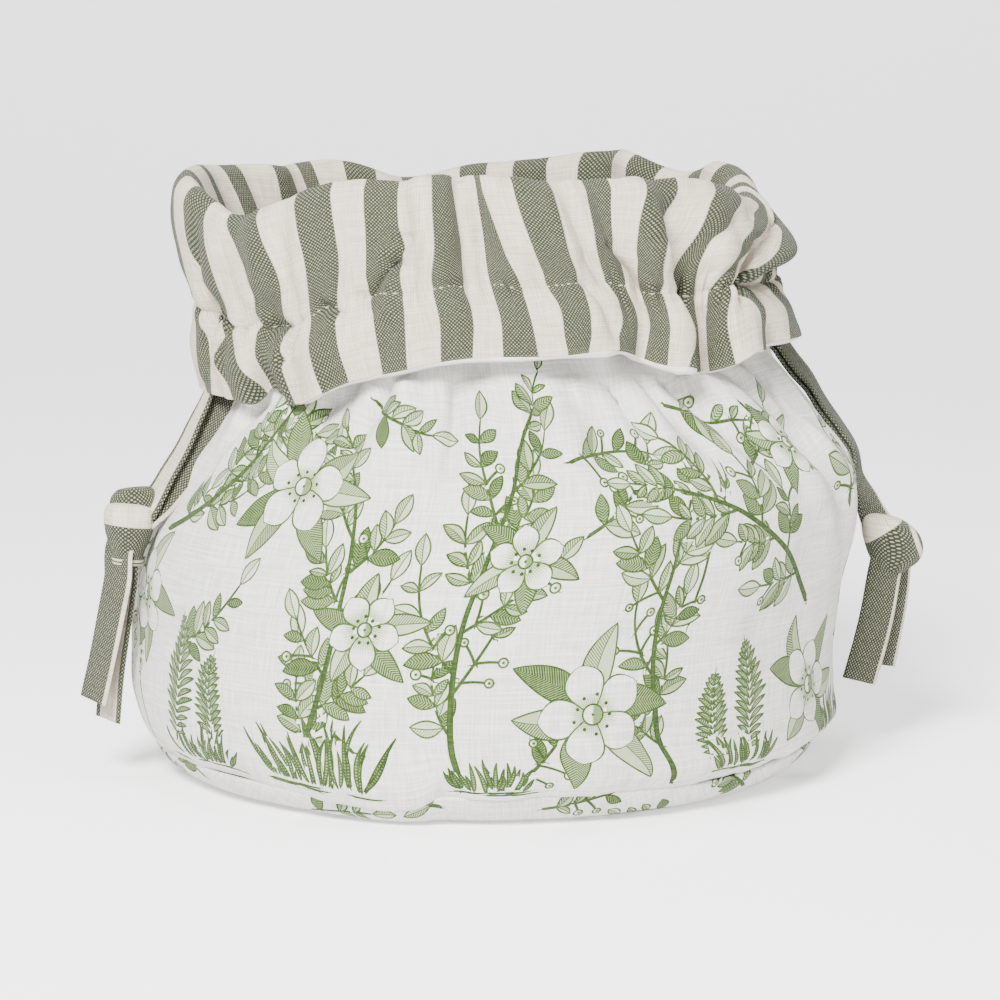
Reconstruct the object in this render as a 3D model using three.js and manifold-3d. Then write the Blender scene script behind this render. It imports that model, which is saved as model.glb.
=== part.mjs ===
// Linen bread bag: a gathered drawstring pouch whose striped lining is turned down as a cuff.
// Millimetres, +Z up, the bag stands on Z = 0 and its front faces -Y.
import * as THREE from "three";
import { mergeVertices } from "three/addons/utils/BufferGeometryUtils.js";
import Module from "manifold-3d";

const wasm = await Module();
wasm.setup();

// Driving dimensions
const clothThickness = 1.1;
const layerGap = 0.45;
const columns = 72; // steps round the bag
const baseColumns = 48;
const neckBase = 150; // height where the gathered neck begins
const casingRise = 0.4; // casing stitch line, as a share of the cuff's height
const printPeek = 1.5; // printed edge that shows below the striped hem
const bodyShift = 2.6; // puts the middle of the bag on X = 0
const baseRadius = 118.4; // middle of the cloth at the base seam
const seamHeight = 9;
const baseCentre = -5.9 + bodyShift;
const tieWidth = 13;
const tieThickness = 2.2;
const strandPair = 3.8; // two strands lying on each other

const outerFace = layerGap / 2 + clothThickness; // from the middle surface to a free face
const innerFace = layerGap / 2;

// Rings of the middle surface between the two cloths, from the base seam up the body,
// through the neck, over the rim and down the cuff. Half widths are from the bag's axis.
const bodyRings = [
  { name: "seam", z: seamHeight + layerGap, left: 124.3, right: 112.5, front: 118.4, back: 118.4 },
  { name: "foot", z: 15, left: 128.4, right: 118.6, front: 121.8, back: 122 },
  { name: "low", z: 27, left: 131.2, right: 118.6, front: 123.8, back: 124 },
  { name: "belly", z: 46, left: 131.2, right: 119, front: 123.8, back: 123.8 },
  { name: "waist", z: 70, left: 128.6, right: 121.6, front: 122.4, back: 122.6 },
  { name: "chest", z: 93, left: 122.4, right: 126.2, front: 118.6, back: 119.6 },
  { name: "shoulder", z: 110, left: 115.6, right: 124.6, front: 112.6, back: 114 },
  { name: "slope", z: 126, left: 107.4, right: 113, front: 104.6, back: 106 },
  { name: "collar", z: 140, left: 99.6, right: 102.4, front: 96.8, back: 98 },
];
const neckRings = [
  { name: "neck low", rise: 0.04, left: 95.6, right: 93.4, front: 91.2, back: 92.2 },
  { name: "neck", rise: 0.32, left: 94.6, right: 87.6, front: 88.4, back: 88.6 },
  { name: "neck high", rise: 0.64, left: 99, right: 83, front: 86.4, back: 86 },
  { name: "inner rim", rise: 0.88, left: 104.4, right: 81.4, front: 85.8, back: 85 },
  { name: "inner roll", rise: 0.97, left: 107.2, right: 83.4, front: 87.4, back: 86.6 },
];
const cuffRings = [
  { name: "rim", rise: 1, left: 110.4, right: 86.8, front: 90.2, back: 89.4 },
  { name: "outer roll", rise: 0.965, left: 113.4, right: 90.4, front: 93.2, back: 92.4 },
  { name: "upper", rise: 0.87, left: 115.2, right: 93.6, front: 95.6, back: 95 },
  { name: "high", rise: 0.64, left: 113, right: 97.6, front: 98.2, back: 97.6 },
  { name: "casing", rise: casingRise, left: 109.4, right: 98, front: 98.8, back: 98 },
  { name: "low", rise: 0.2, left: 109.8, right: 102.8, front: 100.8, back: 100 },
  { name: "hem", rise: 0, left: 108.4, right: 104.2, front: 101, back: 100.8 },
];

// Heights of the rim and of the hem round the mouth. Angle 0 is the front, +90 the right.
const rimHeights = [
  { angle: -165, height: 204 },
  { angle: -150, height: 211 },
  { angle: -135, height: 208.5 },
  { angle: -115, height: 210.5 },
  { angle: -90, height: 212.8 },
  { angle: -74, height: 208 },
  { angle: -60, height: 199.6 },
  { angle: -48, height: 205 },
  { angle: -36, height: 211 },
  { angle: -24, height: 214.6 },
  { angle: -13, height: 213.4 },
  { angle: -3, height: 215.4 },
  { angle: 8, height: 213.6 },
  { angle: 28, height: 214.2 },
  { angle: 50, height: 212.4 },
  { angle: 64, height: 207.4 },
  { angle: 80, height: 200 },
  { angle: 95, height: 204 },
  { angle: 115, height: 213.6 },
  { angle: 130, height: 214 },
  { angle: 140, height: 209 },
  { angle: 150, height: 214.4 },
  { angle: 168, height: 212.6 },
  { angle: 182, height: 210 },
];
const hemHeights = [
  { angle: -150, height: 149 },
  { angle: -120, height: 144 },
  { angle: -92, height: 138.4 },
  { angle: -70, height: 137.4 },
  { angle: -56, height: 138 },
  { angle: -46, height: 142.6 },
  { angle: -38, height: 139.6 },
  { angle: -24, height: 149 },
  { angle: -8, height: 156.4 },
  { angle: 8, height: 157.4 },
  { angle: 22, height: 158.6 },
  { angle: 32, height: 153 },
  { angle: 44, height: 148.8 },
  { angle: 58, height: 151 },
  { angle: 78, height: 154.6 },
  { angle: 95, height: 153.6 },
  { angle: 120, height: 150 },
  { angle: 165, height: 152.6 },
];

// Folds of the cuff: angles at rim and hem, half width in degrees, depth out (+) or in (-)
// at the rim, between rim and casing, at the casing and at the hem.
const cuffFolds = [
  { rimAt: -8, hemAt: -10, width: 9, rim: 3.4, upper: 3.4, casing: 1.4, hem: 0.8 },
  { rimAt: 0, hemAt: 3, width: 8, rim: -5.6, upper: -6.2, casing: -2.8, hem: 0 },
  { rimAt: -24, hemAt: -34, width: 12, rim: 2, upper: 3.4, casing: 0.6, hem: 2.8 },
  { rimAt: -14, hemAt: -24, width: 9, rim: -0.8, upper: -2.8, casing: -2.8, hem: -1.4 },
  { rimAt: -44, hemAt: -46, width: 9, rim: 0, upper: 2, casing: -2.8, hem: -5.6 },
  { rimAt: -54, hemAt: -56, width: 9, rim: -4.2, upper: -1.4, casing: 0, hem: 4.2 },
  { rimAt: -64, hemAt: -68, width: 9, rim: -2.6, upper: 0, casing: -5, hem: 2.8 },
  { rimAt: -84, hemAt: -80, width: 13, rim: 2, upper: 2, casing: 0, hem: 2.6 },
  { rimAt: 14, hemAt: 18, width: 11, rim: 1.4, upper: 2.2, casing: 1.4, hem: 3.6 },
  { rimAt: 22, hemAt: 28, width: 9, rim: -1.4, upper: -1.4, casing: -4.2, hem: -4.8 },
  { rimAt: 34, hemAt: 35, width: 9, rim: 2.8, upper: 2.8, casing: 1.4, hem: 3.4 },
  { rimAt: 44, hemAt: 42, width: 8, rim: -1.4, upper: -3.4, casing: -5.6, hem: -5.6 },
  { rimAt: 55, hemAt: 51, width: 9, rim: 2.2, upper: 2.8, casing: 2.8, hem: 4.8 },
  { rimAt: 66, hemAt: 61, width: 9, rim: -1.4, upper: -5.6, casing: -6.8, hem: -3.6 },
  { rimAt: 84, hemAt: 78, width: 16, rim: 0, upper: 7.6, casing: -1.4, hem: 2.6 },
  { rimAt: 106, hemAt: 104, width: 11, rim: 2, upper: -1, casing: -1, hem: 5 },
  { rimAt: 122, hemAt: 118, width: 12, rim: 4.2, upper: 4.2, casing: 1.4, hem: 4.2 },
  { rimAt: 138, hemAt: 136, width: 10, rim: -7, upper: -5.6, casing: -4.2, hem: -4.2 },
  { rimAt: 152, hemAt: 154, width: 12, rim: 3.6, upper: 3.4, casing: 0, hem: 3.6 },
  { rimAt: 170, hemAt: 172, width: 11, rim: -1.4, upper: -3.4, casing: -4.2, hem: -4.2 },
  { rimAt: -172, hemAt: -170, width: 12, rim: 2.8, upper: 2.8, casing: 1.4, hem: 3.4 },
  { rimAt: -158, hemAt: -152, width: 10, rim: -5.6, upper: -4.2, casing: -4.2, hem: -4.2 },
  { rimAt: -142, hemAt: -136, width: 12, rim: 2.8, upper: 4.2, casing: 1.4, hem: 4.2 },
  { rimAt: -128, hemAt: -120, width: 10, rim: -6.2, upper: -3.4, casing: -5.6, hem: -4.2 },
  { rimAt: -108, hemAt: -102, width: 12, rim: 2.8, upper: 2.8, casing: 0, hem: 2.8 },
];

// Soft folds that run down from the gathered neck over the shoulder: angles at the neck
// and at the lowest point, half width, depth at the neck and the height where they end.
const bodyFolds = [
  { neckAt: -6, endAt: -9, width: 8, depth: -5.1, end: 96 },
  { neckAt: 14, endAt: 22, width: 9, depth: -4.5, end: 88 },
  { neckAt: 30, endAt: 50, width: 9, depth: -5.1, end: 92 },
  { neckAt: 42, endAt: 66, width: 9, depth: -5.4, end: 70 },
  { neckAt: 62, endAt: 80, width: 9, depth: -4.5, end: 84 },
  { neckAt: 84, endAt: 96, width: 9, depth: -4.5, end: 92 },
  { neckAt: 108, endAt: 116, width: 10, depth: -5.1, end: 80 },
  { neckAt: 132, endAt: 136, width: 9, depth: -4.5, end: 96 },
  { neckAt: 152, endAt: 158, width: 10, depth: -5.4, end: 84 },
  { neckAt: 176, endAt: 178, width: 9, depth: -4.5, end: 92 },
  { neckAt: -160, endAt: -164, width: 9, depth: -5.1, end: 80 },
  { neckAt: -138, endAt: -142, width: 10, depth: -4.5, end: 96 },
  { neckAt: -114, endAt: -120, width: 9, depth: -5.1, end: 86 },
  { neckAt: -66, endAt: -72, width: 9, depth: -4.5, end: 96 },
  { neckAt: -48, endAt: -56, width: 9, depth: -4.5, end: 90 },
  { neckAt: -31, endAt: -38, width: 9, depth: -5.1, end: 84 },
];

const radians = THREE.MathUtils.degToRad;
const mix = THREE.MathUtils.lerp;

function turnsApart(angle, other) {
  return THREE.MathUtils.euclideanModulo(angle - other + 180, 360) - 180;
}

// Smooth periodic curve through a table of heights by angle
function heightAt(table, angle) {
  const count = table.length;
  const turn = THREE.MathUtils.euclideanModulo(angle - table[0].angle, 360);
  const starts = table.map((row) => row.angle - table[0].angle);
  let index = count - 1;
  while (starts[index] > turn) index -= 1;
  const span = (starts[index + 1] ?? 360) - starts[index];
  const t = (turn - starts[index]) / span;
  const [h0, h1, h2, h3] = [-1, 0, 1, 2].map((k) => table[(index + k + count) % count].height);
  const slopeA = (h2 - h0) / 2;
  const slopeB = (h3 - h1) / 2;
  const rise = h2 - h1;
  return h1 + t * slopeA + t * t * (3 * rise - 2 * slopeA - slopeB) + t ** 3 * (slopeA + slopeB - 2 * rise);
}

// Soft hump, 1 in the middle and 0 at its half width
function hump(distance, width) {
  return Math.abs(distance) < width ? 0.5 + 0.5 * Math.cos((Math.PI * distance) / width) : 0;
}

// Depth of one cuff fold at a share of the cuff's height
function foldDepth(fold, rise) {
  const upperRise = 0.66;
  if (rise > upperRise) return mix(fold.upper, fold.rim, (rise - upperRise) / (1 - upperRise));
  if (rise > casingRise) {
    return mix(fold.casing, fold.upper, (rise - casingRise) / (upperRise - casingRise));
  }
  return mix(fold.hem, fold.casing, rise / casingRise);
}

function cuffPush(angle, rise) {
  return cuffFolds.reduce((sum, fold) => {
    const at = mix(fold.hemAt, fold.rimAt, rise);
    return sum + foldDepth(fold, rise) * hump(turnsApart(angle, at), fold.width);
  }, 0);
}

function bodyPush(angle, z) {
  return bodyFolds.reduce((sum, fold) => {
    const share = THREE.MathUtils.clamp((z - fold.end) / (neckBase - fold.end), 0, 1);
    const at = mix(fold.endAt, fold.neckAt, share);
    return sum + fold.depth * share * hump(turnsApart(angle, at), fold.width);
  }, 0);
}

// Point of a ring at an angle, pushed out or in along the ring's own normal
function ringPoint(ring, angle, z, push) {
  const a = radians(angle);
  const centre = (ring.right - ring.left) / 2 + bodyShift;
  const halfWidth = (ring.right + ring.left) / 2;
  const halfDepth = Math.cos(a) > 0 ? ring.front : ring.back;
  const normal = new THREE.Vector2(Math.sin(a) / halfWidth, -Math.cos(a) / halfDepth).normalize();
  return new THREE.Vector3(
    centre + halfWidth * Math.sin(a) + normal.x * push,
    -halfDepth * Math.cos(a) + normal.y * push,
    z,
  );
}

function bodyPoint(ring, angle) {
  return ringPoint(ring, angle, ring.z, bodyPush(angle, ring.z));
}

function neckPoint(ring, angle) {
  const rimFrom = 0.3; // below this share the neck has its own folds, above it the rim's
  const z = mix(neckBase, heightAt(rimHeights, angle), ring.rise);
  const rimShare = THREE.MathUtils.clamp((ring.rise - rimFrom) / (1 - rimFrom), 0, 1);
  const push = mix(bodyPush(angle, neckBase), cuffPush(angle, 1), rimShare);
  return ringPoint(ring, angle, z, push);
}

function cuffPoint(ring, angle) {
  const z = mix(heightAt(hemHeights, angle), heightAt(rimHeights, angle), ring.rise);
  return ringPoint(ring, angle, z, cuffPush(angle, ring.rise));
}

// The whole middle surface: one row of points for each ring
const angles = Array.from({ length: columns }, (_, i) => (360 * i) / columns);
const wall = [
  ...bodyRings.map((ring) => angles.map((angle) => bodyPoint(ring, angle))),
  ...neckRings.map((ring) => angles.map((angle) => neckPoint(ring, angle))),
  ...cuffRings.map((ring) => angles.map((angle) => cuffPoint(ring, angle))),
];

// Unit normals of a wall, towards the printed cloth
function wallNormals(rows) {
  return rows.map((row, j) => row.map((_, i) => {
    const along = new THREE.Vector3().subVectors(row[(i + 1) % columns], row[(i + columns - 1) % columns]);
    const above = rows[Math.min(j + 1, rows.length - 1)][i];
    const below = rows[Math.max(j - 1, 0)][i];
    const normal = new THREE.Vector3().crossVectors(along, above.clone().sub(below));
    if (j === 0) normal.z = 0; // the bottom edge is cut level
    return normal.normalize();
  }));
}

// Closed solid between two parallel faces of a wall of rings
function clothSolid(rows, normals, near, far) {
  const face = (offset) => rows.map((row, j) => row.map((p, i) => p.clone().addScaledVector(normals[j][i], offset)));
  const loop = [...face(far), ...face(near).reverse()];
  const position = loop.flat().flatMap((p) => [p.x, p.y, p.z]);
  const index = [];
  loop.forEach((row, j) => {
    const next = (j + 1) % loop.length;
    row.forEach((_, i) => {
      const right = (i + 1) % columns;
      const [a, b, c, d] = [j * columns + i, j * columns + right, next * columns + right, next * columns + i];
      // both faces are split along the same diagonal, so that they stay parallel
      if (j < rows.length) index.push(a, b, c, a, c, d);
      else index.push(a, b, d, b, c, d);
    });
  });
  const geometry = new THREE.BufferGeometry();
  geometry.setAttribute("position", new THREE.Float32BufferAttribute(position, 3));
  geometry.setIndex(index);
  return geometry;
}

// Printed cloth: like the lining, but its hem reaches a little lower
function printedRows() {
  const rows = wall.map((row) => row.map((p) => p.clone()));
  rows.at(-1).forEach((p) => { p.z -= printPeek; });
  return rows;
}

// Round base, turned up to the seam: faces at two distances from its middle curve
function baseSolid(near, far) {
  const profile = [
    new THREE.Vector2(0, outerFace),
    new THREE.Vector2(105, outerFace),
    new THREE.Vector2(110.6, outerFace + 1),
    new THREE.Vector2(115.4, outerFace + 3.5),
    new THREE.Vector2(baseRadius, seamHeight),
  ];
  const face = (offset) => profile.map((p, i) => {
    const before = profile[Math.max(i - 1, 0)];
    const after = profile[Math.min(i + 1, profile.length - 1)];
    const run = after.clone().sub(before).normalize();
    if (i === 0) run.set(1, 0);
    if (i === profile.length - 1) run.set(0, 1);
    return new THREE.Vector2(p.x + run.y * offset, p.y - run.x * offset);
  });
  const outline = [...face(far), ...face(near).reverse()];
  const geometry = new THREE.LatheGeometry(outline, baseColumns);
  geometry.rotateX(Math.PI / 2);
  return geometry;
}

// Each tie is two ends of the drawstring: flat strips that come out under the cuff, pass
// through one knot and hang as two tails. facing is the way a strip's flat side looks,
// in degrees as on the rings.
const leftTie = {
  name: "tie_left",
  knot: { x: -130, y: -33, z: 84.5, wide: 9.4, deep: 6.6, high: 8.6, lean: 4, facing: -34 },
  strand: [
    { x: -95.6, y: -24, z: 163, facing: -75 },
    { x: -96.4, y: -26, z: 152, facing: -74 },
    { x: -96.9, y: -28, z: 142, facing: -73 },
    { x: -99.8, y: -30, z: 134, facing: -71 },
    { x: -103.8, y: -31.4, z: 126, facing: -70 },
    { x: -108.2, y: -31.8, z: 117, facing: -69 },
    { x: -113.6, y: -32.2, z: 108, facing: -66 },
    { x: -118.4, y: -32.4, z: 100, facing: -60 },
    { x: -124, y: -33, z: 94, facing: -44 },
    { x: -129, y: -33, z: 87, facing: -34 },
  ],
  tails: [
    [
      { x: -131, y: -35, z: 84, facing: -34 },
      { x: -132, y: -38, z: 72, facing: -38 },
      { x: -134.6, y: -39, z: 58, facing: -40 },
      { x: -137.8, y: -38.6, z: 43, facing: -42 },
      { x: -141.2, y: -38, z: 28.6, facing: -42 },
    ],
    [
      { x: -129, y: -32, z: 84, facing: -34 },
      { x: -130, y: -33.4, z: 72, facing: -38 },
      { x: -132.2, y: -33.8, z: 56, facing: -42 },
      { x: -134.8, y: -33.2, z: 38, facing: -44 },
      { x: -136.6, y: -32, z: 20.6, facing: -44 },
    ],
  ],
};
const rightTie = {
  name: "tie_right",
  knot: { x: 144.2, y: 14, z: 75.6, wide: 10.2, deep: 7, high: 8.4, lean: -14, facing: 20 },
  strand: [
    { x: 96, y: 18, z: 164, facing: 80 },
    { x: 98, y: 18, z: 156, facing: 80 },
    { x: 103, y: 19.4, z: 149.4, facing: 79 },
    { x: 108.4, y: 21, z: 142, facing: 78 },
    { x: 114.2, y: 22, z: 135, facing: 78 },
    { x: 119, y: 22, z: 127, facing: 78 },
    { x: 125.4, y: 21.4, z: 118, facing: 79 },
    { x: 131, y: 20.6, z: 109, facing: 79 },
    { x: 132, y: 19, z: 101, facing: 70 },
    { x: 135.8, y: 17, z: 92, facing: 50 },
    { x: 140.4, y: 15, z: 82, facing: 28 },
  ],
  tails: [
    [
      { x: 143, y: 12, z: 75, facing: 16 },
      { x: 141.4, y: 10.4, z: 64, facing: 14 },
      { x: 139.4, y: 9.6, z: 52, facing: 12 },
      { x: 136.4, y: 9.2, z: 39, facing: 12 },
      { x: 133, y: 9, z: 26.6, facing: 12 },
    ],
    [
      { x: 146, y: 17, z: 75, facing: 24 },
      { x: 146.4, y: 17.4, z: 64, facing: 26 },
      { x: 145.4, y: 17, z: 54, facing: 26 },
      { x: 143.4, y: 16.4, z: 43, facing: 24 },
      { x: 141.2, y: 16, z: 31.4, facing: 24 },
    ],
  ],
};

// Closed flat strip along a list of points, eight corners to a section
function stripGeometry(points, wide, thick) {
  const half = { wide: wide / 2, thick: thick / 2 };
  const chamfer = 0.6; // corner cut, as a share of half the thickness
  const corner = half.thick * chamfer;
  const section = [
    [half.wide, half.thick - corner], [half.wide - corner, half.thick],
    [corner - half.wide, half.thick], [-half.wide, half.thick - corner],
    [-half.wide, corner - half.thick], [corner - half.wide, -half.thick],
    [half.wide - corner, -half.thick], [half.wide, corner - half.thick],
  ];
  const place = points.map((point) => new THREE.Vector3(point.x, point.y, point.z));
  const position = [];
  place.forEach((p, i) => {
    const ahead = place[Math.min(i + 1, place.length - 1)];
    const tangent = ahead.clone().sub(place[Math.max(i - 1, 0)]).normalize();
    const facing = radians(points[i].facing);
    const normal = new THREE.Vector3(Math.sin(facing), -Math.cos(facing), 0);
    normal.addScaledVector(tangent, -normal.dot(tangent)).normalize();
    const side = new THREE.Vector3().crossVectors(normal, tangent);
    for (const [u, v] of section) {
      const corner3 = p.clone().addScaledVector(side, u).addScaledVector(normal, v);
      position.push(corner3.x, corner3.y, corner3.z);
    }
  });
  const sides = section.length;
  const index = [];
  for (let i = 0; i < place.length - 1; i += 1) {
    for (let k = 0; k < sides; k += 1) {
      const next = (k + 1) % sides;
      const [a, b, c, d] = [i * sides + k, i * sides + next, (i + 1) * sides + next, (i + 1) * sides + k];
      index.push(a, b, c, a, c, d);
    }
  }
  const last = (place.length - 1) * sides;
  for (let k = 1; k < sides - 1; k += 1) {
    index.push(0, k + 1, k, last, last + k, last + k + 1);
  }
  const geometry = new THREE.BufferGeometry();
  geometry.setAttribute("position", new THREE.Float32BufferAttribute(position, 3));
  geometry.setIndex(index);
  return geometry;
}

// Overhand knot: a rounded body with the two wraps of the strips standing out round it
function knotGeometries(knot) {
  const turn = radians(knot.facing);
  const lean = radians(knot.lean);
  const put = (geometry) => geometry.rotateY(lean).rotateZ(turn).translate(knot.x, knot.y, knot.z);
  const body = new THREE.SphereGeometry(1, 14, 10).scale(knot.wide, knot.deep, knot.high);
  const wrapTube = 0.42; // thickness of a wrap, as a share of the knot's depth
  const wrap = new THREE.TorusGeometry(1 - wrapTube / 2, wrapTube, 6, 16);
  const upper = wrap.clone().scale(knot.wide, knot.deep * 1.1, knot.deep).rotateX(0.3);
  upper.translate(0, 0, knot.high * 0.34);
  return [put(body), put(upper)];
}

// One solid from several closed geometries that run into each other
function fused(geometries) {
  const solids = geometries.map((geometry) => {
    const bare = new THREE.BufferGeometry();
    bare.setAttribute("position", geometry.getAttribute("position"));
    bare.setIndex(geometry.getIndex());
    const merged = mergeVertices(bare, 1e-3);
    return new wasm.Manifold(new wasm.Mesh({
      numProp: 3,
      vertProperties: new Float32Array(merged.getAttribute("position").array),
      triVerts: new Uint32Array(merged.getIndex().array),
    }));
  });
  const whole = solids.reduce((sum, solid) => sum.add(solid)).getMesh();
  const geometry = new THREE.BufferGeometry();
  geometry.setAttribute("position", new THREE.Float32BufferAttribute(whole.vertProperties, 3));
  geometry.setIndex(new THREE.Uint32BufferAttribute(whole.triVerts, 1));
  return geometry;
}

function tieGeometry(tie) {
  const strand = stripGeometry(tie.strand, tieWidth, strandPair);
  const tails = tie.tails.map((points) => stripGeometry(points, tieWidth, tieThickness));
  return fused([strand, ...tails, ...knotGeometries(tie.knot)]);
}

const materials = {
  print: new THREE.MeshStandardMaterial({ color: 0xe3e1db, roughness: 0.9, metalness: 0 }),
  stripe: new THREE.MeshStandardMaterial({ color: 0xa9ab95, roughness: 0.88, metalness: 0 }),
  tie: new THREE.MeshStandardMaterial({ color: 0x878b72, roughness: 0.88, metalness: 0 }),
};

function piece(name, geometry, material) {
  const mesh = new THREE.Mesh(geometry, material);
  mesh.name = name;
  return mesh;
}

const bag = new THREE.Group();
const normals = wallNormals(wall);
bag.add(piece("side_panel", clothSolid(printedRows(), normals, innerFace, outerFace), materials.print));
bag.add(piece("lining", clothSolid(wall, normals, -outerFace, -innerFace), materials.stripe));
const base = new THREE.Group();
base.position.x = baseCentre;
base.add(piece("base_panel", baseSolid(innerFace, outerFace), materials.print));
base.add(piece("lining_base", baseSolid(-outerFace, -innerFace), materials.stripe));
bag.add(base);
bag.add(piece(leftTie.name, tieGeometry(leftTie), materials.tie));
bag.add(piece(rightTie.name, tieGeometry(rightTie), materials.tie));

export default bag;
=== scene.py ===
# Linen bread bag: printed cloth, striped cuff, round base and knotted ties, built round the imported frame.
import math
import random

import bmesh
import bpy
import numpy as np
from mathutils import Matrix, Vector


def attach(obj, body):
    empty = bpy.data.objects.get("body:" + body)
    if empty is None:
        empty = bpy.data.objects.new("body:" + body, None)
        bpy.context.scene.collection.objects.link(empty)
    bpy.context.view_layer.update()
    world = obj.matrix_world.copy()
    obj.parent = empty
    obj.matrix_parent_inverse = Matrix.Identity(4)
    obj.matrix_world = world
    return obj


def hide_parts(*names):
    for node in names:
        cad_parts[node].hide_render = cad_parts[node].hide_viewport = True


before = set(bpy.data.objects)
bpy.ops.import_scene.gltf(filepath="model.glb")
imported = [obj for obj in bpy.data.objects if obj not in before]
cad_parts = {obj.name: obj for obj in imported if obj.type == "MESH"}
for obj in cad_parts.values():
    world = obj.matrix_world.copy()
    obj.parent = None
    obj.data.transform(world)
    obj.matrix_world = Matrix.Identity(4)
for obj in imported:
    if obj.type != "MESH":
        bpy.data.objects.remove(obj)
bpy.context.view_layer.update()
mm = 0.001
bodyShift = 2.6  # mm, the frame's X of the middle of the view


# camera, light and floor
view = {"lens": 141.6, "sensor": 36.0, "distance": 1.4, "height": 0.295, "aimHeight": 0.0945,
        "x": (bodyShift - 0.36) * mm, "pixels": 1000}


def makeCamera():
    camera = bpy.data.objects.new("viewCamera", bpy.data.cameras.new("viewCamera"))
    bpy.context.scene.collection.objects.link(camera)
    camera.data.lens = view["lens"]
    camera.data.sensor_width = view["sensor"]
    camera.location = (view["x"], -view["distance"], view["height"])
    down = math.atan((view["height"] - view["aimHeight"]) / view["distance"])
    camera.rotation_euler = (math.pi / 2 - down, 0, 0)
    bpy.context.scene.camera = camera


lights = [
    {"name": "keyLight", "at": (-0.55, -1.75, 1.5), "aim": (0, 0, 0.1), "size": 0.7, "power": 205},
    {"name": "fillLight", "at": (1.2, -1.6, 0.8), "aim": (0, 0, 0.1), "size": 1.0, "power": 26},
    {"name": "topLight", "at": (0.05, 0.0, 1.7), "aim": (0, 0, 0.1), "size": 0.8, "power": 24},
]
cove = {"half": 4.5, "near": -7.0, "bend": 1.95, "radius": 0.7, "top": 2.6, "steps": 12, "shade": 0.9,
        "glow": 0.6, "backGlow": 1.0, "glowFrom": 0.3, "world": 0.08, "sky": 2.2}


def makeLights():
    for row in lights:
        lamp = bpy.data.objects.new(row["name"], bpy.data.lights.new(row["name"], "AREA"))
        bpy.context.scene.collection.objects.link(lamp)
        lamp.data.size = row["size"]
        lamp.data.energy = row["power"]
        lamp.location = row["at"]
        aim = Vector(row["aim"]) - Vector(row["at"])
        lamp.rotation_euler = aim.to_track_quat("-Z", "Y").to_euler()


def makeWorld():
    # the sky is seen pale but lights the bag only a little
    world = bpy.data.worlds.new("studioWorld")
    world.use_nodes = True
    tree = world.node_tree
    sky = tree.nodes["Background"]
    sky.inputs["Color"].default_value = (1.0, 1.0, 1.0, 1)
    path = tree.nodes.new("ShaderNodeLightPath")
    pale = times(tree, path.outputs["Is Camera Ray"], cove["sky"] - cove["world"])
    link(tree, plus(tree, pale, cove["world"]), sky.inputs["Strength"])
    bpy.context.scene.world = world


def makeFloor():
    # pale floor that curves up into a backdrop
    profile = [(cove["near"], 0.0), (cove["bend"], 0.0)]
    for k in range(1, cove["steps"] + 1):
        turn = math.pi / 2 * k / cove["steps"]
        rise = cove["radius"] * (1 - math.cos(turn))
        profile.append((cove["bend"] + cove["radius"] * math.sin(turn), rise))
    profile.append((cove["bend"] + cove["radius"], cove["top"]))
    bm = bmesh.new()
    bmesh.ops.create_grid(bm, x_segments=1, y_segments=len(profile) - 1, size=1)
    for index, vert in enumerate(bm.verts):
        y, z = profile[index // 2]
        vert.co = (cove["half"] * (1 if index % 2 else -1), y, z)
    for one in bm.faces:
        one.smooth = True
    floor = meshObject("floor", bm)
    floor.data.materials.append(floorMaterial())


def floorMaterial():
    material = bpy.data.materials.new("paleFloor")
    material.use_nodes = True
    tree = material.node_tree
    shader = tree.nodes["Principled BSDF"]
    shader.inputs["Base Color"].default_value = (cove["shade"], cove["shade"], cove["shade"], 1)
    shader.inputs["Roughness"].default_value = 0.9
    shader.inputs["Emission Color"].default_value = (1, 1, 1, 1)
    # the backdrop glows a little more than the floor
    place = tree.nodes.new("ShaderNodeTexCoord")
    spot = splitParts(tree, "ShaderNodeSeparateXYZ", place.outputs["Object"])
    glow = steps(tree, spot["Y"], cove["glowFrom"], cove["bend"], (cove["glow"], cove["backGlow"]))
    link(tree, glow, shader.inputs["Emission Strength"])
    return material


def meshObject(name, bm):
    mesh = bpy.data.meshes.new(name)
    bm.to_mesh(mesh)
    bm.free()
    piece = bpy.data.objects.new(name, mesh)
    bpy.context.scene.collection.objects.link(piece)
    return piece


# shape shared by both cloths, in mm: rings from the base seam up, over the rim and down to the hem
roundLength = 787.2  # cloth round the bag
pairCount = 25  # green and cream pairs of stripes
pairLength = roundLength / pairCount
neckBase = 150.0  # height
casingRise = 0.4  # share of the height from the hem to the rim
bodyStart = -85.0  # angle of the first green stripe's edge on the body
seamRing = 9.45  # height of the base seam
face = 1.15  # from the middle surface to a cloth's outer side

# height, half width left, right, half depth front, back
bodyRings = [
    (seamRing, 124.3, 112.5, 118.4, 118.4), (15, 128.4, 118.6, 121.8, 122),
    (27, 131.2, 118.6, 123.8, 124), (46, 131.2, 119, 123.8, 123.8), (70, 128.6, 121.6, 122.4, 122.6),
    (93, 122.4, 126.2, 118.6, 119.6), (110, 115.6, 124.6, 112.6, 114), (126, 107.4, 113, 104.6, 106),
    (140, 99.6, 102.4, 96.8, 98),
]
# share of the height from the neck's base to the rim, then the same four
neckRings = [
    (0.04, 95.6, 93.4, 91.2, 92.2), (0.32, 94.6, 87.6, 88.4, 88.6), (0.64, 99, 83, 86.4, 86),
    (0.88, 104.4, 81.4, 85.8, 85), (0.97, 107.2, 83.4, 87.4, 86.6),
]
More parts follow.
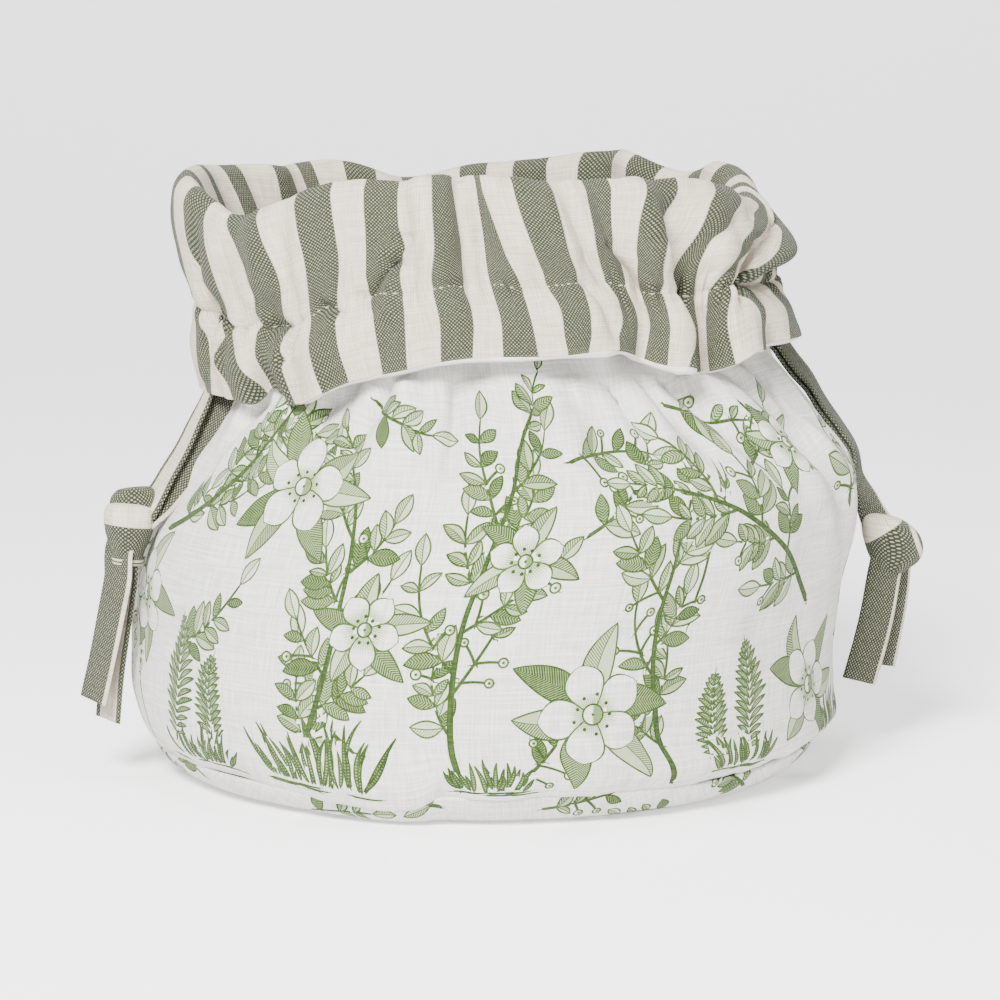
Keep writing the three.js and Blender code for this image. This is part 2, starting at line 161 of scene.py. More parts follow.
# share of the height from the hem to the rim, then the same four
cuffRings = [
    (1, 109.6, 86.8, 90.2, 89.4), (0.965, 112.4, 90.4, 93.2, 92.4), (0.87, 113.8, 93.6, 95.6, 95),
    (0.64, 112, 97.6, 98.2, 97.6), (0.4, 107.8, 98, 98.8, 98), (0.2, 108.8, 102.8, 100.8, 100),
    (0, 104.4, 104.2, 101, 100.8),
]
# angle round the bag, 0 in front and 90 at the right, and height
rimHeights = [
    (-165, 204), (-150, 211), (-135, 210), (-115, 212), (-90, 213), (-74, 207), (-60, 200), (-53, 200),
    (-48, 202), (-36, 208), (-24, 214), (-13, 214), (-3, 216), (8, 214), (28, 214), (50, 212), (64, 208),
    (80, 203), (95, 207), (115, 213), (128, 208), (140, 215), (150, 214), (168, 211), (182, 208),
]
hemHeights = [
    (-150, 149), (-120, 144), (-92, 138.4), (-70, 137.6), (-56, 137.8), (-53, 136.8), (-50.3, 141.8),
    (-47.5, 138.8), (-38, 139.6), (-30, 146.8), (-24, 150), (-8, 156.4), (8, 157.4), (22, 158.6), (32, 153),
    (44, 148.8), (48, 151.4), (52, 155.2), (58, 154.8), (68, 156), (78, 155.8), (95, 153.6), (120, 150),
    (165, 152.6),
]
# angle at rim and hem, half width, depth at rim, above the casing, at the casing, at the hem
cuffFolds = [
    (-8, -10, 9, 3.4, 3.4, 1.4, 0.8), (-1.5, -0.5, 8, -4.4, -5.0, -2.4, 0), (-24, -34, 12, 2, 3.4, 0.6, 2.8),
    (-14, -24, 9, -0.8, -2.8, -2.8, -1.4), (-44, -46, 9, 0, 2, -2.8, -5.6),
    (-54, -56, 9, -4.2, -1.4, 0, 4.2), (-64, -68, 9, -2.6, 0, -5, 2.8), (-84, -80, 13, 2, 2, 0, 2.6),
    (14, 18, 11, 1.4, 2.2, 1.4, 3.6), (22, 28, 9, -1.4, -1.4, -4.2, -4.8), (34, 35, 9, 2.8, 2.8, 1.4, 3.4),
    (44, 42, 8, -1.4, -3.4, -5.6, -5.6), (55, 51, 9, 2.2, 2.8, 2.8, 4.8),
    (70, 63, 9, -0.6, -2.6, -3.4, -2.6), (84, 78, 16, 0, 7.6, -1.4, 2.6), (106, 104, 11, 2, -1, -1, 5),
    (122, 118, 12, 4.2, 4.2, 1.4, 4.2), (138, 136, 10, -7, -5.6, -4.2, -4.2),
    (152, 154, 12, 3.6, 3.4, 0, 3.6), (170, 172, 11, -1.4, -3.4, -4.2, -4.2),
    (-172, -170, 12, 2.8, 2.8, 1.4, 3.4), (-158, -152, 10, -5.6, -4.2, -4.2, -4.2),
    (-142, -136, 12, 2.8, 4.2, 1.4, 4.2), (-128, -120, 10, -6.2, -3.4, -5.6, -4.2),
    (-108, -102, 12, 2.8, 2.8, 0, 2.8),
]
# angle at the neck and at the lower end, half width, depth at the neck, height of the end
bodyFolds = [
    (-6, -9, 8, -5.1, 96), (14, 22, 9, -4.5, 88), (30, 50, 9, -5.1, 92), (42, 66, 9, -5.4, 70),
    (62, 80, 9, -4.5, 84), (84, 96, 9, -4.5, 92), (108, 116, 10, -5.1, 80), (132, 136, 9, -4.5, 96),
    (152, 158, 10, -5.4, 84), (176, 178, 9, -4.5, 92), (-160, -164, 9, -5.1, 80),
    (-138, -142, 10, -4.5, 96), (-114, -120, 9, -5.1, 86), (-66, -72, 9, -4.5, 96),
    (-48, -56, 9, -4.5, 90), (-31, -38, 9, -5.1, 84),
]
# smaller creases of the cuff: angle and rise of both ends, half width in mm, depth
cuffCreases = [
    (-17.5, 0.6, -19, 0.3, 5.5, 2.2), (-30, 0.3, -33, 0.08, 5, 1.1), (33, 0.6, 31, 0.2, 5, 1.0),
    (-73, 0.5, -71, 0.1, 5, 1.5),
    (10, 0.3, 14.5, 0.1, 5.5, 1.0), (19, 0.55, 22, 0.1, 4.5, -1.0), (-2, 0.45, -4, 0.1, 5, -0.9),
    (-52, 0.7, -48, 0.42, 5, 1.2), (14, 0.9, 17, 0.5, 6, 0.8), (24, 1.0, 26, 0.62, 6, -0.9),
    (47, 1.0, 46, 0.66, 5, 0.9), (4.5, 0.95, 6, 0.5, 6, 1.2), (-9, 0.95, -8, 0.5, 6, 1.2),
]
# pleats of the cuff: angles at rises 1, 0.7, 0.4, 0.2 and 0, half width in mm, depths at the same rises
cuffPleats = [
    (-1.8, -2.4, -2.6, -2.2, -1, 5.5, -2.6, -4.2, -3.6, -1.2, 0),
    (24, 24.5, 30, 30, 28.5, 5, 0, -1.4, -5.2, -4.0, -1.2),
    (39, 39.5, 41, 42, 42, 9, -1.6, -4.0, -1.0, 0, 0),
    (52, 50, 49, 50, 52, 12, 0.8, 2.4, 0.6, 1.6, 1.6),
    (47.5, 47.5, 46.6, 45.2, 44, 4.4, 0, -0.2, -3.0, -4.2, -3.0),
    (91, 66.5, 54.5, 51, 50, 4.8, -1.5, -5.6, -6.2, -1.4, 0),
    (-67, -68, -71, -70, -68, 5.5, 0, -2.8, -6.4, -1.8, 0),
    (-50, -50, -49, -50, -50.5, 6, 0, 0, -0.8, -1.6, -5.4),
    (-60, -60, -61, -61, -61, 5, 0, 0, -2.4, 2.0, 1.0),
    (-43.5, -45, -44, -44.5, -43, 7, 0, 0.8, -2.2, 2.8, 2.4),
    (-33, -34, -34.5, -33.5, -34, 8, 0.6, 1.4, -0.8, 2.6, 2.0),
    (-37.5, -38, -38.5, -39, -39, 6, -0.4, -1.6, -1.2, -1.0, 0),
    (-24, -23, -26, -25, -25, 6, -0.8, -2.0, -1.0, -1.2, -0.6),
    (9, 9, 9.5, 12, 13, 9, 1.6, 1.6, -1.0, 1.8, 1.4),
    (17.5, 18.5, 21, 21.5, 21, 6, -1.2, -2.2, -1.6, -1.4, -0.6),
    (-12, -12.5, -13.5, -13, -13, 6, -1.0, -1.4, -1.6, -1.0, -0.6),
    (33, 34, 36.5, 37, 36.5, 6, 0.8, 2.2, 0.8, 2.8, 1.8),
    (63, 60, 57, 58, 58, 8, 0.8, 1.0, 0, 2.4, 2.0),
]
# sharp short creases of the cuff: angle and rise of both ends, half width in mm, depth
cuffPinches = [
    (-13.2, 0.7, -16.5, 0.56, 4.0, -2.6), (-16.5, 0.56, -21.8, 0.4, 4.4, -3.2),
    (-31.8, 0.43, -28.2, 0.345, 3.2, -3.0), (-50, 0.37, -41, 0.38, 3.4, -2.6),
    (-37.2, 0.385, -41.6, 0.22, 3.2, -2.8), (-35.4, 0.4, -37.8, 0.25, 4.0, 1.6),
    (-66, 0.4, -64.5, 0.3, 3.2, -2.6), (54, 0.4, 68, 0.38, 4.6, -3.6), (76, 0.8, 86, 0.84, 4.0, -2.6),
    (24.6, 0.62, 29.4, 0.43, 3.4, -2.2), (26.6, 0.6, 32.4, 0.42, 3.6, 1.4),
    (15.5, 0.44, 20, 0.34, 3.6, -1.4), (19.5, 0.46, 23, 0.3, 4.4, 1.3), (-6.5, 0.42, -3.5, 0.33, 3.4, -1.6),
    (2.5, 0.44, 5, 0.34, 3.4, -1.3), (-24, 0.42, -22, 0.3, 3.4, -1.4), (34, 0.42, 33, 0.34, 3.0, -1.6),
]
# sideways lean of the larger folds: angle, rise, half widths in degrees and rise, mm
cuffLeans = [
    (-42, 0.12, 8, 0.4, -2.2), (43, 0.3, 8, 0.5, -2.6), (63, 0.75, 9, 0.4, 3.4), (-62, 0.25, 8, 0.4, 2.0),
    (2, 0.8, 7, 0.5, 2.0), (25, 0.2, 7, 0.4, -1.6), (-20, 0.5, 7, 0.3, -1.6),
]
# small creases of the printed body: angle and height of both ends, half width in mm, depth
bodyCreases = [
    (-9, 150, -11.5, 108, 6, -3.4), (-3, 150, -5, 118, 7, 2.0), (16, 150, 12, 122, 8, 2.2),
    (21, 152, 27, 116, 7, -2.8), (36, 148, 50, 110, 7, -3.4), (44, 150, 60, 104, 9, 2.4),
    (52, 150, 72, 100, 8, -3.0), (62, 122, 74, 84, 12, -2.6), (70, 118, 84, 76, 12, 2.0),
    (-36, 140, -44, 112, 7, -3.2), (-28, 146, -33, 118, 8, 2.2), (-48, 138, -56, 108, 8, 2.2),
    (-18, 150, -24, 120, 7, 2.0), (5, 152, 6, 124, 6, -2.0), (-60, 60, -84, 44, 16, -1.8),
    (48, 60, 78, 44, 16, -1.6), (-64, 112, -78, 88, 11, -2.0), (30, 96, 52, 88, 14, -1.4),
    (-14, 30, 4, 20, 12, -1.1), (-50, 34, -30, 22, 12, -1.2), (26, 30, 44, 18, 12, -1.2),
    (-23, 146, -29, 124, 5, -2.2), (29, 150, 37, 120, 6, -1.8), (-55, 136, -62, 116, 6, -2.2),
]
# left and right edges of the green stripes in front, from rim to hem: pixels down and across in the view
stripeLevels = [1, 0.7, 0.4, 0.2, 0]
stripeEdges = [
    [
        [(212, 232), (222, 231), (248, 239), (266, 246), (291, 250), (305, 252), (320, 259), (333, 253),
         (343, 252), (360, 253), (386, 268), (402, 275)],
        [(205, 262), (222, 267), (248, 275), (266, 279), (291, 284), (320, 290), (330, 287), (343, 286),
         (360, 284), (386, 292), (402, 296)],
    ],
    [
        [(185, 300), (222, 303), (248, 306), (291, 310), (309, 311), (328, 309), (345, 307), (365, 317),
         (383, 323)],
        [(180, 334), (222, 339), (248, 341), (280, 338), (291, 336), (305, 338), (328, 336), (345, 337),
         (362, 342), (380, 348)],
    ],
    [
        [(178, 367), (222, 366), (250, 366), (280, 369), (300, 371), (330, 375), (367, 383)],
        [(178, 400), (222, 402), (250, 401), (285, 401), (300, 402), (330, 405), (362, 407)],
    ],
    [
        [(173, 431), (190, 434), (222, 436), (260, 435), (286, 433), (305, 438), (330, 441), (358, 441)],
        [(173, 450), (190, 456), (222, 459), (250, 463), (275, 461), (286, 463), (305, 471), (330, 474),
         (358, 473)],
    ],
    [
        [(178, 474.5), (222, 480), (250, 484), (280, 487), (295, 494), (310, 500), (357, 503)],
        [(178, 478), (190, 485), (222, 494), (250, 503), (270, 510), (285, 519), (300, 526), (320, 531),
         (356, 539)],
    ],
    [
        [(178, 508), (222, 522), (250, 533), (275, 541), (300, 556), (320, 564), (352, 569)],
        [(178, 545), (200, 552), (222, 560), (250, 566), (272, 569), (290, 585), (305, 590), (330, 588),
         (352, 588)],
    ],
    [
        [(178, 580), (200, 587), (222, 592), (250, 597), (275, 601), (300, 615), (315, 621), (330, 622),
         (346, 620)],
        [(178, 605), (205, 604), (222, 607), (250, 615), (275, 622), (290, 630), (305, 636), (325, 638),
         (350, 636)],
    ],
    [
        [(180, 637), (222, 634), (250, 631), (275, 630), (290, 640), (305, 646), (325, 650), (358, 644)],
        [(180, 673), (209, 671), (247, 659), (261, 655), (278, 656), (298, 664), (321, 669), (340, 669),
         (362, 668)],
    ],
]
# the same for those that turn away at the sides: angles of both edges at each level, from rim to hem
leftStripes = [
    (-87, -82, -84, -76, -82, -76, -74, -70, -72, -69), (-75, -66, -70, -61, -69, -58, -62, -53, -57, -51),
]
rightStripes = [
    (54, 67, 45, 48, 41, 46, 38, 45, 35, 44), (82, 88, 57, 62, 48, 51, 46, 48, 45, 48),
    (93, 96, 79, 92, 55, 63, 56, 66, 54, 61), (101, 110, 99, 107, 70, 78, 73, 86, 71, 82),
]
# both edges of the stripes behind, at the rim
backRim = [
    117, 124, 132, 138, 144, 155, 162, 170, 176, 182, 189, 196, 203, 209.5, 217, 221, 225, 233, 242, 247.5,
    257, 264,
]
stripeSmooth = {"reach": 9, "passes": 2, "green": 0.46}
stripeScan = {"columns": 720, "stops": [(200, 20.0), (0, 1.0)], "side": 80}
# a ring's code is its height on the body, and then runs on up the neck and down the cuff
ringCode = {"neck": 160, "neckSpan": 60, "rim": 220, "cuffSpan": 100}


def hump(distance, width):
    return np.where(np.abs(distance) < width, 0.5 + 0.5 * np.cos(np.pi * distance / width), 0.0)


def apart(angle, other):
    return (angle - other + 180) % 360 - 180


def ease(t):
    t = np.clip(t, 0, 1)
    return t * t * (3 - 2 * t)


def heightAt(table, angle):
    # smooth closed curve through rows of angle and height
    starts = np.array([row[0] for row in table], float)
    heights = np.array([row[1] for row in table], float)
    turn = (angle - starts[0]) % 360
    starts = np.append(starts - starts[0], 360)
    index = np.clip(np.searchsorted(starts, turn, side="right") - 1, 0, len(heights) - 1)
    t = (turn - starts[index]) / (starts[index + 1] - starts[index])
    h0, h1, h2, h3 = (heights[(index + k) % len(heights)] for k in (-1, 0, 1, 2))
    slopeA, slopeB, rise = (h2 - h0) / 2, (h3 - h1) / 2, h2 - h1
    return h1 + t * slopeA + t * t * (3 * rise - 2 * slopeA - slopeB) + t ** 3 * (slopeA + slopeB - 2 * rise)


def cuffPush(angle, rise):
    push = np.zeros_like(angle)
    for rimAt, hemAt, width, rim, upper, casing, hem in cuffFolds:
        depth = np.interp(rise, [0, casingRise, 0.66, 1], [hem, casing, upper, rim])
        push += depth * hump(apart(angle, hemAt + (rimAt - hemAt) * rise), width)
    return push


def bodyPush(angle, height):
    push = np.zeros_like(angle)
    for neckAt, endAt, width, depth, end in bodyFolds:
        share = min(max((height - end) / (neckBase - end), 0), 1)
        push += depth * share * hump(apart(angle, endAt + (neckAt - endAt) * share), width)
    return push


def ringPoints(ring, angle, height, push):
    left, right, front, back = ring[1:]
    turn = np.radians(angle)
    halfWidth = (left + right) / 2
    halfDepth = np.where(np.cos(turn) > 0, front, back)
    outX, outY = np.sin(turn) / halfWidth, -np.cos(turn) / halfDepth
    length = np.hypot(outX, outY)
    x = (right - left) / 2 + bodyShift + halfWidth * np.sin(turn) + outX / length * push
    y = -halfDepth * np.cos(turn) + outY / length * push
    return np.stack([x, y, np.broadcast_to(height, x.shape)], -1)


def stripeAngles(share, frontStripes):
    # angles of a share of the way round at each of the stripe levels, from hem to rim
    shown = len(frontStripes)
    reach = stripeSmooth["reach"]
    maps = []
    for level in range(len(stripeLevels)):
        knots, values = [], []
        for pair, row in enumerate(frontStripes):
            knots += [pair, pair + 0.5]
            values += [row[2 * level], row[2 * level + 1]]
        first, last = values[0], values[-1]
        step = (first + 360 - last) / (pairCount - shown + 0.5)
        for pair in range(shown, pairCount):
            knots += [pair, pair + 0.5]
            edge = 2 * (pair - shown)
            if level == 0 and edge < len(backRim):
                values += backRim[edge:edge + 2]
            else:
                start = last + (pair - shown + 0.5) * step
                values += [start, start + step * stripeSmooth["green"]]
        knots.append(pairCount)
        values.append(first + 360)
        angle = np.interp(share * pairCount, knots, values)
        smooth = np.concatenate([angle[-reach:] - 360, angle, angle[:reach] + 360])
        for _ in range(stripeSmooth["passes"]):
            below = smooth[:-4] + smooth[1:-3] * 2
            smooth[2:-2] = (below + smooth[2:-2] * 3 + smooth[3:-1] * 2 + smooth[4:]) / 9
        maps.append(smooth[reach:-reach])
    return maps[::-1]


def levelAngle(maps, rise):
    stops = stripeLevels[::-1]
    index = min(max(np.searchsorted(stops, rise, side="right") - 1, 0), len(stops) - 2)
    part = (rise - stops[index]) / (stops[index + 1] - stops[index])
    return maps[index] + (maps[index + 1] - maps[index]) * part


def middleSurface(count, frontStripes):
    # rows of x, y, z, angle and code for count columns, one row a ring
    share = np.arange(count) / count
    even = bodyStart + 360 * share
    maps = stripeAngles(share, frontStripes) if frontStripes else [even] * len(stripeLevels)
    rimMap = maps[-1]
    rows = []
    for ring in bodyRings:
        points = ringPoints(ring, even, ring[0], bodyPush(even, ring[0]))
        rows.append(np.column_stack([points, even, np.full(count, ring[0])]))
    for ring in neckRings:
        rimShare = min(max((ring[0] - 0.3) / 0.7, 0), 1)
        angle = even + (rimMap - even) * ease(ring[0])
        height = neckBase + (heightAt(rimHeights, angle) - neckBase) * ring[0]
        push = bodyPush(angle, neckBase) * (1 - rimShare) + cuffPush(angle, 1.0) * rimShare
        points = ringPoints(ring, angle, height, push)
        code = ringCode["neck"] + ringCode["neckSpan"] * ring[0]
        rows.append(np.column_stack([points, angle, np.full(count, code)]))
    for ring in cuffRings:
        angle = levelAngle(maps, ring[0])
        hem = heightAt(hemHeights, angle)
        height = hem + (heightAt(rimHeights, angle) - hem) * ring[0]
        points = ringPoints(ring, angle, height, cuffPush(angle, ring[0]))
        code = ringCode["rim"] + ringCode["cuffSpan"] * (1 - ring[0])
        rows.append(np.column_stack([points, angle, np.full(count, code)]))
    return np.array(rows)


def cuffRise(code):
    # share of the height from the hem to the rim, over 1 on the inside of the bag
    return 1 - (code - ringCode["rim"]) / ringCode["cuffSpan"]


def ringKnots(rows):
    steps = np.linalg.norm(np.diff(rows[:, :, :3], axis=0), axis=2).mean(axis=1)
    return np.concatenate([[0], np.cumsum(steps)])


def smoothRows(rows, knots, places):
    # smooth curve through the rings in every column, at given lengths of cloth
    steps = np.diff(knots)
    slopes = np.diff(rows, axis=0) / steps[:, None, None]
    tangents = np.empty_like(rows)
    before, after = steps[:-1, None, None], steps[1:, None, None]
    tangents[1:-1] = (slopes[:-1] * after + slopes[1:] * before) / (before + after)
    tangents[0], tangents[-1] = slopes[0], slopes[-1]
    index = np.clip(np.searchsorted(knots, places, side="right") - 1, 0, len(steps) - 1)
    span = steps[index][:, None, None]
    t = (places - knots[index])[:, None, None] / span
    start, end = rows[index], rows[index + 1]
    pull, push = tangents[index] * span, tangents[index + 1] * span
    return ((2 * t ** 3 - 3 * t ** 2 + 1) * start + (t ** 3 - 2 * t ** 2 + t) * pull
            + (3 * t ** 2 - 2 * t ** 3) * end + (t ** 3 - t ** 2) * push)


def rowNormals(points):
    along = np.roll(points, -1, axis=1) - np.roll(points, 1, axis=1)
    up = np.empty_like(points)
    up[1:-1] = points[2:] - points[:-2]
    up[0], up[-1] = points[1] - points[0], points[-1] - points[-2]
    normals = np.cross(along, up)
    return normals / np.linalg.norm(normals, axis=2, keepdims=True)


def softInterp(x, stops, values):
    # values eased from stop to stop
    result = np.full_like(x, values[0])
    for low, high, change in zip(stops, stops[1:], np.diff(values)):
        result += change * ease((x - low) / (high - low))
    return result


def lineDistance(x, y, x1, y1, x2, y2):
    # distance to a straight line and the share along it
    dx, dy = x2 - x1, y2 - y1
    share = np.clip(((x - x1) * dx + (y - y1) * dy) / (dx * dx + dy * dy), 0, 1)
    return np.hypot(x - x1 - share * dx, y - y1 - share * dy), share


def softNoise(girth, along, cellGirth, cellAlong, seed):
    # smooth seeded noise from -1 to 1 that closes round the bag; girth and along are mm of cloth
    count = max(int(round(roundLength / cellGirth)), 3)
    lattice = np.random.default_rng(seed).uniform(-1, 1, (count, noiseRows))
    x = girth / roundLength * count
    y = along / cellAlong + 8
    i, j = np.floor(x).astype(int), np.floor(y).astype(int)
    tx, ty = ease(x - i), ease(y - j)
    j = np.clip(j, 0, noiseRows - 2)
    low = lattice[i % count, j] * (1 - tx) + lattice[(i + 1) % count, j] * tx
    high = lattice[i % count, j + 1] * (1 - tx) + lattice[(i + 1) % count, j + 1] * tx
    return low * (1 - ty) + high * ty


noiseRows = 96
# degree, bodyDegree: mm of one degree round the cuff and the body; the rest are depths and pitches in mm
detail = {
    "degree": 1.72, "bodyDegree": 2.15, "cuffHeight": 62.0, "pucker": 1.7, "puckerPitch": 8.6, "pinch": 1.5,
    "crease": 1.4, "gather": 1.9, "wave": 1.1, "ripple": 0.34, "seamPucker": 0.5, "soft": 0.8,
    "puckerSeed": 11, "frontAt": -4, "frontFrom": 34, "frontOver": 26, "cuffFrom": 217, "cuffOver": 5,
    "bodyFrom": 146, "bodyOver": 14, "gatherFrom": 112, "gatherOver": 34,
    # noises: length of a cell round the bag and along the cloth, seed
    "softCells": (19, 26, 9), "gatherCells": (8, 60, 3), "waveCells": (44, 38, 5),
    "rippleCells": (13, 17, 7), "seamCells": (5.2, 30, 13), "baseCells": (5.2, 30, 17),
}
pleatRises = [0, 0.2, casingRise, 0.7, 1]
# small folds along the casing: ranges of their size, half width, reach up and down, lean and spacing
pucker = {"size": (0.45, 1.25), "half": (3.3, 5.0), "above": (7, 19), "below": (6, 15),
          "lean": (-0.16, 0.16), "gap": (0.72, 1.3), "endGap": 4}
# the stitch line's pinch and the rises beside it: half width, depth and distance in mm
casing = {"line": 2.4, "wide": 13, "wideDepth": 0.6, "beside": 3.4, "besideHalf": 2.6, "besideRise": 0.3}
# angle, and how far the base seam lies above or below its mean height
seamLifts = [
    (-90, 2), (-65, 2.6), (-48, 2), (-34, 1.3), (-21, -1.2), (-14, -1.8), (-10.5, -0.5), (-7, 3.2),
    (0, 2.8), (10, 3.5), (22, 3), (42, 2.2), (58, 3.5), (90, 2.5), (150, 0), (210, 0),
]
# angle, and how far the printed edge shows below the striped hem
peeks = [
    (-90, 0.2), (-54, 0.1), (-38, 0.1), (-30, 0.6), (-22, 0.9), (-10, 1.2), (2, 1.3), (12, 0.9), (19, 1.4),
    (24, 0.3), (29, 1.5), (34, 2.1), (38, 1.2), (42, 0.5), (47, 0.1), (55, 0.3), (64, 0.9), (73, 0.7),
    (80, 0.1), (90, 0.4), (180, 0.8), (230, 0.5),
]


def creaseLine(angle, y, crease, scale, degree):
    # distance to a straight crease in mm, and the share along it
    a1, y1, a2, y2 = crease[:4]
    return lineDistance(apart(angle, a1) * degree, y, 0, y1 * scale, (a2 - a1) * degree, y2 * scale)


def cuffDetail(angle, rise, u, v):
    # creases, pleats and puckers; out is away from the printed cloth
    tall = detail["cuffHeight"]
    cuff = np.zeros_like(angle)
    for row in cuffCreases:
        away, _ = creaseLine(angle, rise * tall, row, tall, detail["degree"])
        cuff += row[5] * hump(away, row[4])
    for row in cuffPleats:
        at = np.interp(rise, pleatRises, row[4::-1])
        depth = softInterp(rise, pleatRises, row[:5:-1])
        cuff += depth * hump(apart(angle, at) * detail["degree"], row[5])
    for row in cuffPinches:
        away, _ = creaseLine(angle, rise * tall, row, tall, detail["degree"])
        cuff += row[5] * np.clip(1 - away / row[4], 0, 1) ** 1.5
    # the casing is drawn in more at the sides and behind than in front
    aside = ease((np.abs(apart(angle, detail["frontAt"])) - detail["frontFrom"]) / detail["frontOver"])
    ends = 0.3 + 0.7 * aside
    fromCasing = (rise - casingRise) * tall
    addPuckers(cuff, u, fromCasing, 0.35 + 0.65 * ends)
    wide = casing["wideDepth"] * hump(fromCasing, casing["wide"])
    cuff -= ends * (detail["pinch"] * hump(fromCasing, casing["line"]) + wide)
    above = hump(fromCasing - casing["beside"], casing["besideHalf"])
    below = hump(fromCasing + casing["beside"], casing["besideHalf"])
    cuff += ends * (casing["besideRise"] * above + casing["besideRise"] * below)
    cuff += detail["soft"] * softNoise(u, v, *detail["softCells"]) * ease((rise - 0.02) / 0.1)
    return cuff


def addPuckers(cuff, u, fromCasing, strength):
    # small folds that run up and down from the casing's stitches
    rng = random.Random(detail["puckerSeed"])
    at = 0.0
    while at < roundLength - pucker["endGap"]:
        size = detail["pucker"] * rng.uniform(*pucker["size"])
        half, above, below, lean = (rng.uniform(*pucker[key]) for key in ("half", "above", "below", "lean"))
        near = (u - at - lean * fromCasing + roundLength / 2) % roundLength - roundLength / 2
        fade = hump(np.where(fromCasing > 0, fromCasing / above, fromCasing / below), 1.0)
        cuff += size * strength * hump(near, half) * fade
        at += detail["puckerPitch"] * rng.uniform(*pucker["gap"])


def addBodyDetail(push, angle, height, u, v, onBody):
    # creases, gathers below the cuff, ripples and the puckers of the base seam
    for row in bodyCreases:
        away, share = creaseLine(angle, height, row, 1, detail["bodyDegree"])
        push += detail["crease"] * onBody * row[5] * (1 - 0.7 * share) * hump(away, row[4])
    underCuff = ease((height - detail["gatherFrom"]) / detail["gatherOver"]) * onBody
    push += underCuff * detail["gather"] * softNoise(u, v, *detail["gatherCells"])
    push += onBody * detail["wave"] * softNoise(u, v, *detail["waveCells"])
    ripples = softNoise(u + v * 0.4, v, *detail["rippleCells"])
    push += (0.4 + 0.6 * onBody) * detail["ripple"] * ripples
    seam = hump(v - 2, 9) * onBody
    push += seam * detail["seamPucker"] * softNoise(u, v, *detail["seamCells"])


def addDetail(rows, places, girth):
    # creases, gathers and ripples on top of the main folds; the same for both cloths
    points, angle, code = rows[:, :, :3].copy(), rows[:, :, 3], rows[:, :, 4]
    normals = rowNormals(points)
    rise = cuffRise(code)
    onCuff = ease((code - detail["cuffFrom"]) / detail["cuffOver"])
    onBody = 1 - ease((code - detail["bodyFrom"]) / detail["bodyOver"])
    height = points[:, :, 2]
    u = np.broadcast_to(girth, angle.shape)
    v = np.broadcast_to(places[:, None], angle.shape)
    push = -onCuff * cuffDetail(angle, rise, u, v)
    addBodyDetail(push, angle, height, u, v, onBody)
    points += normals * push[:, :, None]
    along = np.roll(points, -1, axis=1) - np.roll(points, 1, axis=1)
    along[:, :, 2] = 0
    along /= np.linalg.norm(along, axis=2, keepdims=True)
    for at, level, width, tall, shift in cuffLeans:
        amount = onCuff * shift * hump(apart(angle, at), width) * hump(rise - level, tall)
        points += along * amount[:, :, None]
    # the base seam runs a little up and down
    lift = heightAt(seamLifts, angle) * (1 - ease((height - seamRing) / 24)) * onBody
    points[:, :, 2] += lift
    return points


foldBack = (0.8, 1.8)  # mm, the two rows that end a rolled hem


def hemRoll(points, normals, reach, start, end, steps):
    # rows that carry an edge round from one side of the cloth to the other
    last = points[-1]
    down = points[-1] - points[-3]
    down /= np.linalg.norm(down, axis=1, keepdims=True)
    normal = normals[-1]
    middle, radius = (start + end) / 2, (start - end) / 2
    rows = []
    for turn in np.linspace(0, math.pi, steps):
        offset = middle + radius * math.cos(turn)
        far = reach + abs(radius) * math.sin(turn)
        rows.append(last + normal * offset + down * far[:, None])
    for back in foldBack:
        rows.append(last + normal * end + down * (reach - back)[:, None])
    return rows


def closedGrid(name, points, uvs, layers=(), flip=False, weldFirst=False, fillEnds=False):
    # rows of points in mm closed to a tube; uvs and layers are one column longer
    rows, columns = points.shape[:2]
    bm = bmesh.new()
    bmesh.ops.create_grid(bm, x_segments=columns, y_segments=rows - 1, size=1)
    mesh = bpy.data.meshes.new(name)
    bm.to_mesh(mesh)
    bm.free()
    full = np.concatenate([points, points[:, :1]], axis=1) * mm
    mesh.vertices.foreach_set("co", full.reshape(-1, 3).astype(np.float32).ravel())
    corner = np.empty(len(mesh.loops), dtype=np.int32)
    mesh.loops.foreach_get("vertex_index", corner)
    uvLayer = mesh.uv_layers.new(name="clothMap")
    uvLayer.uv.foreach_set("vector", uvs.reshape(-1, 2)[corner].astype(np.float32).ravel())
    if layers:
        addLayers(mesh, corner.reshape(-1, 4), columns, layers)
    bm = bmesh.new()
    bm.from_mesh(mesh)
    bm.verts.ensure_lookup_table()
    seam = [bm.verts[j * (columns + 1) + i] for j in range(rows) for i in (0, columns)]
    if weldFirst:
        seam += [bm.verts[i] for i in range(1, columns)]
    bmesh.ops.remove_doubles(bm, verts=seam, dist=1e-6)
    if flip:
        bmesh.ops.reverse_faces(bm, faces=bm.faces)
    if fillEnds:
        bmesh.ops.holes_fill(bm, edges=[edge for edge in bm.edges if edge.is_boundary], sides=0)
        bmesh.ops.recalc_face_normals(bm, faces=bm.faces)
    for one in bm.faces:
        one.smooth = True
    bm.to_mesh(mesh)
    bm.free()
    piece = bpy.data.objects.new(name, mesh)
    bpy.context.scene.collection.objects.link(piece)
    return piece


def addLayers(mesh, corner, columns, layers):
    # the print's values at each face corner, one colour attribute a layer
    columnOf, rowOf = corner % (columns + 1), corner // (columns + 1)
    firstColumn, firstRow = columnOf.min(axis=1)[:, None], rowOf.min(axis=1)[:, None]
    which = (rowOf - firstRow) * 2 + columnOf - firstColumn
    for label, values in zip(printArea["layers"], layers):
        attribute = mesh.attributes.new(label, "FLOAT_COLOR", "CORNER")
        picked = values[firstRow, firstColumn, which]
        attribute.data.foreach_set("color", picked.astype(np.float32).ravel())


